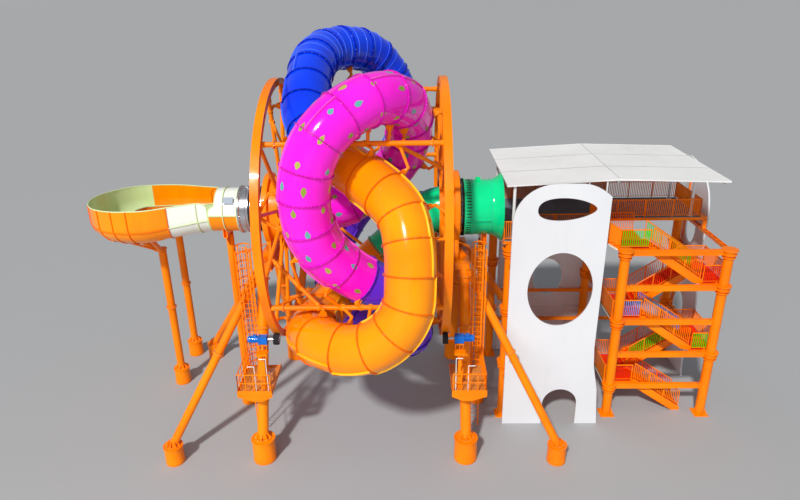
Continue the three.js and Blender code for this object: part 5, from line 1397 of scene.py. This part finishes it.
def channel(shape, start, end, width, depth, web_side):
    """A rolled channel between two points: two flanges, and a web on the side that is named."""
    a, b, side = np.array(start, float), np.array(end, float), np.array(web_side, float)
    for way in (-1, 1):
        lift = np.array((0, 0, way * (depth / 2 - 0.0125)))
        shape.beam(a + lift, b + lift, width, 0.025)
    shape.beam(a + side * (width / 2 - 0.01), b + side * (width / 2 - 0.01), 0.02, depth - 0.05)


def floor_plate(shape, x, y, top, depth, joists, floor_kind):
    """A floor plate with an edge channel all round and joists from front to back."""
    shape.box(x, y, (top - 0.025, top), floor_kind)
    low, high = top - depth, top - 0.025
    for at in (y[0] + 0.03, y[1] - 0.03):
        shape.box(x, about(at, 0.03), (low, high))
    for at in (x[0] + 0.03, x[1] - 0.03):
        shape.box(about(at, 0.03), (y[0] + 0.06, y[1] - 0.06), (low, high))
    for at in np.linspace(x[0], x[1], joists + 2)[1:-1]:
        shape.box(about(at, 0.03), (y[0] + 0.06, y[1] - 0.06), (low + 0.02, high))


def landing(shape, x, level, column_x, corner_x):
    """A floor plate, a channel back to the rear column, and the beam across the front columns."""
    z = level * HALF_STOREY
    floor_plate(shape, x, LANDING_Y, z, SLAB, 2, 2)
    back = COLUMN_Y[1] - COLUMN_RADIUS + 0.02
    channel(shape, (column_x, LANDING_Y[1], z - 0.085), (column_x, back, z - 0.085), 0.19, 0.15, X_WAY)
    front = (COLUMN_X[1] + COLUMN_RADIUS - 0.02, COLUMN_X[2] - COLUMN_RADIUS + 0.02)
    for width, high, low in ((0.2, 0.0, -0.1), (0.15, -0.1, -0.34)):
        shape.box(front, (COLUMN_Y[0] - width / 2, COLUMN_Y[0] + width / 2), (z + low, z + high))
    for end in (front[0] + 0.14, front[1] - 0.14):
        shape.box(about(end, 0.012), about(COLUMN_Y[0], 0.1), (z - 0.21, z), 1)
    shape.box(about(corner_x, 0.11), (COLUMN_Y[0] - 0.05, LANDING_Y[0] + 0.02), (z - 0.15, z - 0.01))


def parapet(shape, x, y, z):
    """A solid end plate with a capping rail, ribs inside and a pale strip along its foot."""
    y0, y1 = y
    shape.box((x, x + 0.016), (y0, y1), (z - 0.1, z + RAIL_HEIGHT - 0.03))
    shape.box((x - 0.012, x + 0.05), (y0, y1), (z + RAIL_HEIGHT - 0.035, z + RAIL_HEIGHT))
    shape.box((x - 0.02, x), (y0, y1), (z - SLAB, z - 0.07), 3)
    for at in np.linspace(y0, y1, 5):
        shape.box((x + 0.016, x + 0.05), about(at, 0.01), (z, z + RAIL_HEIGHT - 0.04))


landing_finishes = painted_steel[0] + [tread_red, pale_trim]
left_x, front_y, rear_y = LEFT_X[0] + 0.03, LANDING_Y[0] + 0.035, LANDING_Y[1] - 0.035
for level, colour in ((1, "red"), (3, "blue")):
    z = level * HALF_STOREY
    floor_of = Piece()
    landing(floor_of, LEFT_X, level, COLUMN_X[1], COLUMN_X[1] + 0.21)
    parapet(floor_of, LEFT_X[0], LANDING_Y, z)
    guard(floor_of, (LEFT_X[1] - 0.03, front_y, z), (left_x + 0.03, front_y, z), colour)
    guard(floor_of, (left_x + 0.03, rear_y, z), (LEFT_X[1] - 0.03, rear_y, z), "orange")
    floor_of.finish(f"stair_landing_left_{level}", "plates", landing_finishes, "orange_paint")
for level, colour in ((2, "green"), (4, "red")):
    z = level * HALF_STOREY
    floor_of = Piece()
    landing(floor_of, RIGHT_X, level, COLUMN_X[2], COLUMN_X[2] - 0.3)
    right_x = RIGHT_X[1] - 0.035
    guard(floor_of, (RIGHT_X[0] + 0.03, front_y, z), (right_x, front_y, z), colour)
    guard(floor_of, (right_x, front_y, z), (right_x, rear_y, z), "orange")
    guard(floor_of, (right_x, rear_y, z), (RIGHT_X[0] + 0.03, rear_y, z), "orange")
    floor_of.finish(f"stair_landing_right_{level}", "plates", landing_finishes, "orange_paint")

# Flights: folded red tread plates with ribbed nosings between two deep side plates, and bar
# railings on both sides that follow the slope.
STEPS = 12
FLIGHT_RUN = RIGHT_X[0] - LEFT_X[1]
STRINGER_TOP, STRINGER_DROP, PLATE_THICK = 0.05, 0.3, 0.02
rise, run = HALF_STOREY / STEPS, FLIGHT_RUN / STEPS
lanes = ((-1.1, 0.25), (0.45, 1.8))
flight_colours = (("orange", "red"), ("green", "orange"), ("orange", "blue"), ("red", "orange"),
    ("orange", "green"))
for level, colours in enumerate(flight_colours):
    flight = Piece()
    foot_x, way = (RIGHT_X[0] - 0.004, -1) if level % 2 == 0 else (LEFT_X[1] + 0.004, 1)
    y0, y1 = lanes[level % 2]
    base = level * HALF_STOREY
    length, tread_y = FLIGHT_RUN - 0.008, (y0 + PLATE_THICK, y1 - PLATE_THICK)
    for i in range(STEPS):
        x0, x1 = foot_x + way * (i * run - (0.02 if i else 0)), foot_x + way * min((i + 1) * run, length)
        z = base + (i + 1) * rise
        flight.box((x0, x1), tread_y, (z - 0.03, z), 2)
        riser = foot_x + way * i * run
        flight.box((riser, riser + way * 0.012), tread_y, (z - rise, z - 0.03), 2)
        for rib in (x0 + way * 0.02, x0 + way * 0.05, x0 + way * 0.08):
            flight.box((rib, rib + way * 0.012), (y0 + 0.06, y1 - 0.06), (z, z + 0.004), 1)
    slope = HALF_STOREY / FLIGHT_RUN
    toe = 0.0 if level == 0 else -0.1
    side_plate = [(0, toe), (STRINGER_DROP / slope, 0.0), (length, slope * length - STRINGER_DROP),
        (length, HALF_STOREY + STRINGER_TOP), (length - 0.2, HALF_STOREY + STRINGER_TOP),
        (0.02, rise + STRINGER_TOP), (0, rise + 0.02)]
    for y in (y0, y1 - PLATE_THICK):
        start = y if way > 0 else y + PLATE_THICK
        flight.plate(side_plate, PLATE_THICK, (foot_x, start, base), (way, 0, 0), Z_WAY)
        edge = y - 0.016 if y == y0 else y + PLATE_THICK + 0.016
        for drop, foot in ((0.02 + rise + STRINGER_TOP, 0.25),
                (-STRINGER_DROP + 0.02, STRINGER_DROP / slope + 0.06)):
            low = np.array((foot_x + way * foot, edge, base + slope * foot + drop - 0.02))
            high = np.array((foot_x + way * (length - 0.22), edge,
                base + slope * (length - 0.22) + drop - 0.02))
            flight.beam(low, high, 0.035, 0.02)
    for y, colour in ((y0 + 0.03, colours[0]), (y1 - 0.03, colours[1])):
        guard(flight, (foot_x + way * 0.12, y, base + 0.12 * slope + rise),
              (foot_x + way * (length - 0.12), y, base + slope * (length - 0.12) + rise), colour, 1.0, 0.16)
    flight.finish(f"stair_flight_{level + 1}", "treads", painted_steel[0] + [tread_red], "red_tread")

# The launch deck: steel floor plates on channels and joists round the stairwell, with the last
# landing, three steps up from it, bar railings and a queue rail, and a ring beam to the right
# front column.
DECK_X, DECK_Y, WELL_X, WELL_Y = (7.6403, 19.8), (-1.675, 5.9), 13.15, 1.96
STEP_LENGTH, STEP_Y, QUEUE_RAIL_Y = 0.32, 1.7, -0.45
RING_X, RING_Y, RING_TOP = (20.0, 20.2), (LANDING_Y[0], 5.346), 5 * HALF_STOREY
deck = Piece()
floor_plate(deck, (DECK_X[0], WELL_X), DECK_Y, DECK_TOP, 0.2, 8, 4)
floor_plate(deck, (WELL_X, DECK_X[1]), (WELL_Y, DECK_Y[1]), DECK_TOP, 0.2, 9, 4)
deck.box((DECK_X[1], RING_X[1]), (WELL_Y, 5.0), (DECK_BOTTOM, DECK_TOP - 0.005))
landing(deck, LEFT_X, 5, COLUMN_X[1], COLUMN_X[1] + 0.21)
step_rise = (DECK_TOP - RING_TOP) / 4
for i in range(3):
    z, end = RING_TOP + (i + 1) * step_rise, LEFT_X[0] - i * STEP_LENGTH
    deck.box((end - STEP_LENGTH - 0.02 if i < 2 else WELL_X, end + 0.015), (LANDING_Y[0], STEP_Y),
        (z - 0.03, z), 2)
    deck.box((end - 0.012, end), (LANDING_Y[0], STEP_Y), (z - step_rise, z - 0.03), 2)
deck.box((WELL_X - 0.012, WELL_X), (LANDING_Y[0], STEP_Y), (DECK_TOP - step_rise, DECK_TOP - 0.03), 2)
raking = [(WELL_X, 11.22), (LEFT_X[0] + 0.02, 10.58), (LEFT_X[0] + 0.02, 11.84), (WELL_X, 12.5)]
deck.plate(raking, 0.016, (0, LANDING_Y[0] + 0.01, 0), X_WAY, Z_WAY)
deck.beam((WELL_X, LANDING_Y[0] + 0.018, 12.5), (LEFT_X[0] + 0.02, LANDING_Y[0] + 0.018, 11.8), 0.06, 0.035)
deck.beam((WELL_X, LANDING_Y[0], 11.22), (LEFT_X[0] + 0.02, LANDING_Y[0], 10.58), 0.03, 0.09, 3)
deck.plate([(WELL_X, 11.2), (LEFT_X[0], 10.6), (LEFT_X[0], 11.8), (WELL_X, 12.5)], 0.016, (0, STEP_Y, 0),
    X_WAY, Z_WAY)
for y, colour in ((front_y, "green"), (rear_y, "orange")):
    guard(deck, (LEFT_X[1] - 0.03, y, RING_TOP), (left_x, y, RING_TOP), colour)
left, right, near_y, far_y = DECK_X[0] + 0.06, DECK_X[1] - 0.06, DECK_Y[0] + 0.06, DECK_Y[1] - 0.06
well_y = WELL_Y + 0.06
for x0, start_y, x1, end_y in ((left, near_y, WELL_X - 0.06, near_y), (WELL_X + 0.1, well_y, right, well_y),
                               (right, well_y, right, far_y), (right, far_y, left, far_y),
                               (left, far_y, left, 1.55), (8.7, QUEUE_RAIL_Y, 12.6, QUEUE_RAIL_Y)):
    guard(deck, (x0, start_y, DECK_TOP), (x1, end_y, DECK_TOP), "orange")
parapet(deck, WELL_X - 0.06, (DECK_Y[0] + 0.06, LANDING_Y[0]), DECK_TOP)
parapet(deck, DECK_X[0] + 0.03, (DECK_Y[0], -1.3), DECK_TOP)
deck.box(RING_X, (WELL_Y, WELL_Y + 0.2), (RING_TOP - 0.05, DECK_BOTTOM + 0.02))
deck.box(RING_X, RING_Y, (RING_TOP - 0.2, RING_TOP - 0.175))
for x in (RING_X[0], RING_X[1] - 0.025):
    deck.box((x, x + 0.025), RING_Y, (RING_TOP - 0.175, RING_TOP))
for y in np.arange(-0.9, 5.3, 0.62):
    deck.box((RING_X[0] + 0.025, RING_X[1] - 0.025), about(y, 0.006), (RING_TOP - 0.175, RING_TOP - 0.03))
deck_mat = finish_of("deck_grip_coat", (0.2, 0.22, 0.25), (0.15, 0.16, 0.18), 0.7, grain=0.3, streaks=0.3)
deck.finish("launch_deck", "plates", landing_finishes + [deck_mat], "orange_paint")
baluster = item_mesh("baluster", lambda shape: shape.pipe([(0, 0, 0), (0, 0, 1)], 1, 6))
for colour, marks in bars.items():
    fittings(f"railing_bars_{colour}", "base", baluster, marks, *bar_finishes[colour])
bolts("tower_bolts", steel_bolts, 0.05)

# The canopy: pale coated sheet on purlins and a light white frame, with a folded ridge cap and
# two standing seams, on slim white posts with round foot plates. Three bent tubes hold the head
# of the front panel.
ROOF_X, ROOF_Y, RIDGE_X = (7.75, 19.4), (-1.6, 6.8), 13.6
RIDGE_Z, EAVES_Z, ROOF_DEPTH = 14.83, (14.53, 14.65), 0.09
SEAM_Y = (1.1, 4.0)
roof_coat = finish_of("canopy_sheet_coat", (0.86, 0.86, 0.85), (0.8, 0.8, 0.78), 0.5, streaks=0.12,
    scale=0.7)
white_steel = finish_of("white_steel", (0.8, 0.8, 0.8), (0.72, 0.72, 0.72), 0.35, 0.1, streaks=0.08)
seam_grey = finish_of("seam_grey", (0.42, 0.41, 0.42), (0.34, 0.33, 0.34), 0.6)
roof = Piece()


def roof_at(x):
    """How high the roof is at x."""
    eaves_x, eaves_z = (ROOF_X[0], EAVES_Z[0]) if x < RIDGE_X else (ROOF_X[1], EAVES_Z[1])
    return eaves_z + (RIDGE_Z - eaves_z) * (x - eaves_x) / (RIDGE_X - eaves_x)


edge_y = (ROOF_Y[0] + 0.02, ROOF_Y[1] - 0.02)
across_roof = (ROOF_Y[1] - ROOF_Y[0] - 0.04, (0, edge_y[0], 0), X_WAY, Z_WAY)
for x0, x1 in ((ROOF_X[0], RIDGE_X), (RIDGE_X, ROOF_X[1])):
    z0, z1 = roof_at(x0 + 1e-6 if x0 == RIDGE_X else x0), roof_at(x1 - 1e-6 if x1 == RIDGE_X else x1)
    roof.plate([(x0, z0 - 0.012), (x1, z1 - 0.012), (x1, z1 - 0.03), (x0, z0 - 0.03)], *across_roof)
    for y in edge_y:
        roof.beam((x0, y, z0 - 0.045), (x1, y, z1 - 0.045), 0.04, ROOF_DEPTH, 1)
    for y in SEAM_Y:
        roof.beam((x0 + 0.03, y, z0 - 0.01), (x1 - 0.03, y, z1 - 0.01), 0.035, 0.02, 2)
    for y in np.linspace(ROOF_Y[0] + 0.5, ROOF_Y[1] - 0.5, 8):
        roof.beam((x0 + 0.03, y, z0 - 0.06), (x1 - 0.03, y, z1 - 0.06), 0.05, 0.05, 1)
for x, z in ((ROOF_X[0] + 0.02, EAVES_Z[0]), (ROOF_X[1] - 0.02, EAVES_Z[1])):
    roof.box(about(x, 0.02), edge_y, (z - ROOF_DEPTH, z))
ridge_cap = [(-0.14, -0.02), (0, -0.003), (0.14, -0.02), (0.14, -0.035), (0, -0.02), (-0.14, -0.035)]
roof.plate([(RIDGE_X + x, RIDGE_Z + z) for x, z in ridge_cap], *across_roof)
roof.box(about(RIDGE_X, 0.015), (ROOF_Y[0] + 0.03, ROOF_Y[1] - 0.03), (RIDGE_Z - 0.02, RIDGE_Z), 2)
LEFT_POST, RIGHT_POST, REAR_POST, MIDDLE_POST = 8.2, 19.25, 5.6, 2.2
main_posts = [(LEFT_POST, -1.35), (LEFT_POST, REAR_POST), (RIDGE_X, REAR_POST), (RIGHT_POST, MIDDLE_POST),
    (RIGHT_POST, REAR_POST)]
for x in (10.1, 11.1, 12.05):
    roof.pipe([(x, -1.54, roof_at(x) - 0.05), (x, -1.54, 14.25), (x, -2.27, 14.25)], 0.035, 12, 1)
for (x, y), radius in [(p, 0.085) for p in main_posts] + [((13.0, -1.5), 0.04)]:
    roof.pipe([(x, y, DECK_TOP + 0.004), (x, y, roof_at(x) - 0.05)], radius, 20, 1)
    roof.band((x, y, DECK_TOP), Z_WAY, (0.004, 0.02), (0.01, radius + 0.08), 20, 1)
for y in (REAR_POST, MIDDLE_POST):
    for x0, x1 in ((LEFT_POST, RIDGE_X), (RIDGE_X, RIGHT_POST)):
        roof.beam((x0, y, roof_at(x0) - 0.14), (x1, y, roof_at(x1 - 1e-6 if x1 == RIDGE_X else x1) - 0.14),
            0.08, 0.12, 1)
for x in (LEFT_POST, RIDGE_X, RIGHT_POST):
    roof.box(about(x, 0.05), (-1.4, 5.7), (roof_at(x) - 0.26, roof_at(x) - 0.08), 1)
roof.finish("canopy_roof", "sheets", [roof_coat, white_steel, seam_grey], "roof_sheet")

# White panels: board on a steel frame, coated smooth and cut with rounded openings. They stand
# on the ground, and brackets tie them to the tower: one in front, one behind, one at the right.
EDGE_ROUND = 0.012
FRONT_BACK, REAR_BACK = -2.28, 6.2
panel_coat = finish_of("white_panel_coat", (0.73, 0.745, 0.77), (0.68, 0.695, 0.72), 0.4, streaks=0.04,
    scale=0.6)
boarded = ([panel_coat, orange_paint], "white_panel")


def curve_through(start, *beziers):
    """Points along joined cubic curves, each given by two control points and its end."""
    line, p0 = [], np.array(start, float)
    for bezier in beziers:
        p1, p2, p3 = (np.array(q, float) for q in bezier)
        for t in np.linspace(0, 1, 14, endpoint=False):
            r = 1 - t
            line.append(r ** 3 * p0 + 3 * r ** 2 * t * p1 + 3 * r * t * t * p2 + t ** 3 * p3)
        p0 = p3
    return [tuple(p) for p in line]


def ellipse(x, z, across, up):
    """An oval opening about (x, z), from its two half widths."""
    return [(x + across * a, z + up * b) for a, b in circle(1, 56)]


def pierced_board(shape, lines, thickness, turned_to):
    """A board from its outline and its openings; turned_to places (across, up, out) in the piece."""
    curve = bpy.data.curves.new("board_outline", "CURVE")
    curve.dimensions = "2D"
    curve.fill_mode = "BOTH"
    curve.extrude = thickness / 2 - EDGE_ROUND
    curve.bevel_depth = EDGE_ROUND
    curve.bevel_resolution = 1
    curve.offset = -EDGE_ROUND
    for line in lines:
        spline = curve.splines.new("POLY")
        spline.points.add(len(line) - 1)
        spline.points.foreach_set("co", [c for x, z in line for c in (x, z, 0, 1)])
        spline.use_cyclic_u = True
    holder = in_scene("board_outline", curve)
    flat = bpy.data.meshes.new_from_object(holder.evaluated_get(bpy.context.evaluated_depsgraph_get()))
    shape.put([turned_to(*v.co) for v in flat.vertices], [tuple(f.vertices) for f in flat.polygons])
    bpy.data.objects.remove(holder)
    bpy.data.meshes.remove(flat)


front = Piece()
arch = [(11.3 - math.cos(q), 1.4 + math.sin(q)) for q in np.linspace(0, math.pi, 25)]
right_shoulder = curve_through((13.05, 14.1), ((12.7, 14.4), (12.2, 14.78), (11.5, 14.8)))
left_shoulder = curve_through((10.3, 14.8), ((9.0, 14.8), (8.05, 13.9), (8.0, 12.7)))
outline = ([(8.0, 0.0), (10.3, 0.0)] + arch + [(12.3, 0.0), (13.6, 0.0), (13.4, 2.4), (13.08, 4.0),
    (13.0, 5.2)] + right_shoulder + [(11.5, 14.8)] + left_shoulder + [(8.0, 12.7)])
eye = curve_through((9.28, 13.4), ((9.28, 13.9), (9.9, 14.08), (10.7, 14.05)),
    ((11.5, 14.02), (12.35, 13.7), (12.35, 13.42)), ((12.35, 13.15), (11.3, 12.8), (10.5, 12.8)),
    ((9.7, 12.8), (9.28, 13.0), (9.28, 13.4)))
front_lines = [outline, eye, ellipse(10.775, 8.8, 1.775, 2.2)]
pierced_board(front, front_lines, 0.12, lambda x, z, out: (x, FRONT_BACK - 0.06 - out, z))
for x, top in ((8.3, 12.5), (12.8, 13.9)):
    front.box(about(x, 0.05), (FRONT_BACK, -2.18), (0.05, top), 1)
for z in (3.0, 6.0, 11.6):
    front.box((8.35, 12.75), (FRONT_BACK, -2.19), about(z, 0.05), 1)
for z in (3.0, 6.0, 10.0):
    front.box((8.04, 8.16), (FRONT_BACK, -1.67), about(z, 0.1), 1)
    front.box((7.98, 8.22), (-1.69, -1.665), about(z, 0.18), 1)
front.box((11.4, 11.52), (FRONT_BACK, -1.676), (11.27, 11.43), 1)
front.finish("front_panel", "board", *boarded)

rear = Piece()
rear_outline = [(8.6, 0.0), (15.4, 0.0), (15.4, 13.2), (8.6, 13.2)]
rear_openings = [ellipse(12.0, 5.7, 1.0, 1.35), ellipse(11.6, 9.3, 0.8, 0.8), ellipse(10.1, 7.0, 0.65, 1.3)]
pierced_board(rear, [rear_outline] + rear_openings, 0.1, lambda x, z, out: (x, 6.25 - out, z))
for x in (8.75, 13.4, 15.25):
    rear.box(about(x, 0.04), (6.14, REAR_BACK), (0.05, 13.1))
for z in (0.3, 3.4, 11.35):
    rear.box((8.7, 15.3), (6.15, REAR_BACK), about(z, 0.04))
for x in (9.4, 14.3):
    rear.box(about(x, 0.08), (5.905, REAR_BACK), (11.27, 11.43), 1)
rear.finish("rear_panel", "board", *boarded)

side_board = Piece()
side_outline = (curve_through((2.6, 0.0), ((3.4, 2.5), (1.5, 4.2), (2.6, 6.6)),
    ((3.7, 8.6), (1.9, 10.4), (3.1, 12.6)), ((3.77, 13.53), (4.83, 14.03), (6.3, 14.1)))
    + [(6.3, 14.1), (6.3, 0.0)])
side_openings = [ellipse(4.7, 9.8, 0.7, 1.0), ellipse(4.7, 4.2, 0.75, 1.1)]
pierced_board(side_board, [side_outline] + side_openings, 0.1, lambda y, z, out: (20.59 + out, y, z))
for z in (HALF_STOREY, 3 * HALF_STOREY, 5 * HALF_STOREY):
    side_board.box((COLUMN_X[2] + COLUMN_RADIUS, 20.54), (5.52, 5.68), about(z, 0.08), 1)
side_board.box((20.46, 20.54), (5.55, 5.65), (0.05, 13.6), 1)
side_board.finish("side_panel", "board", *boarded)
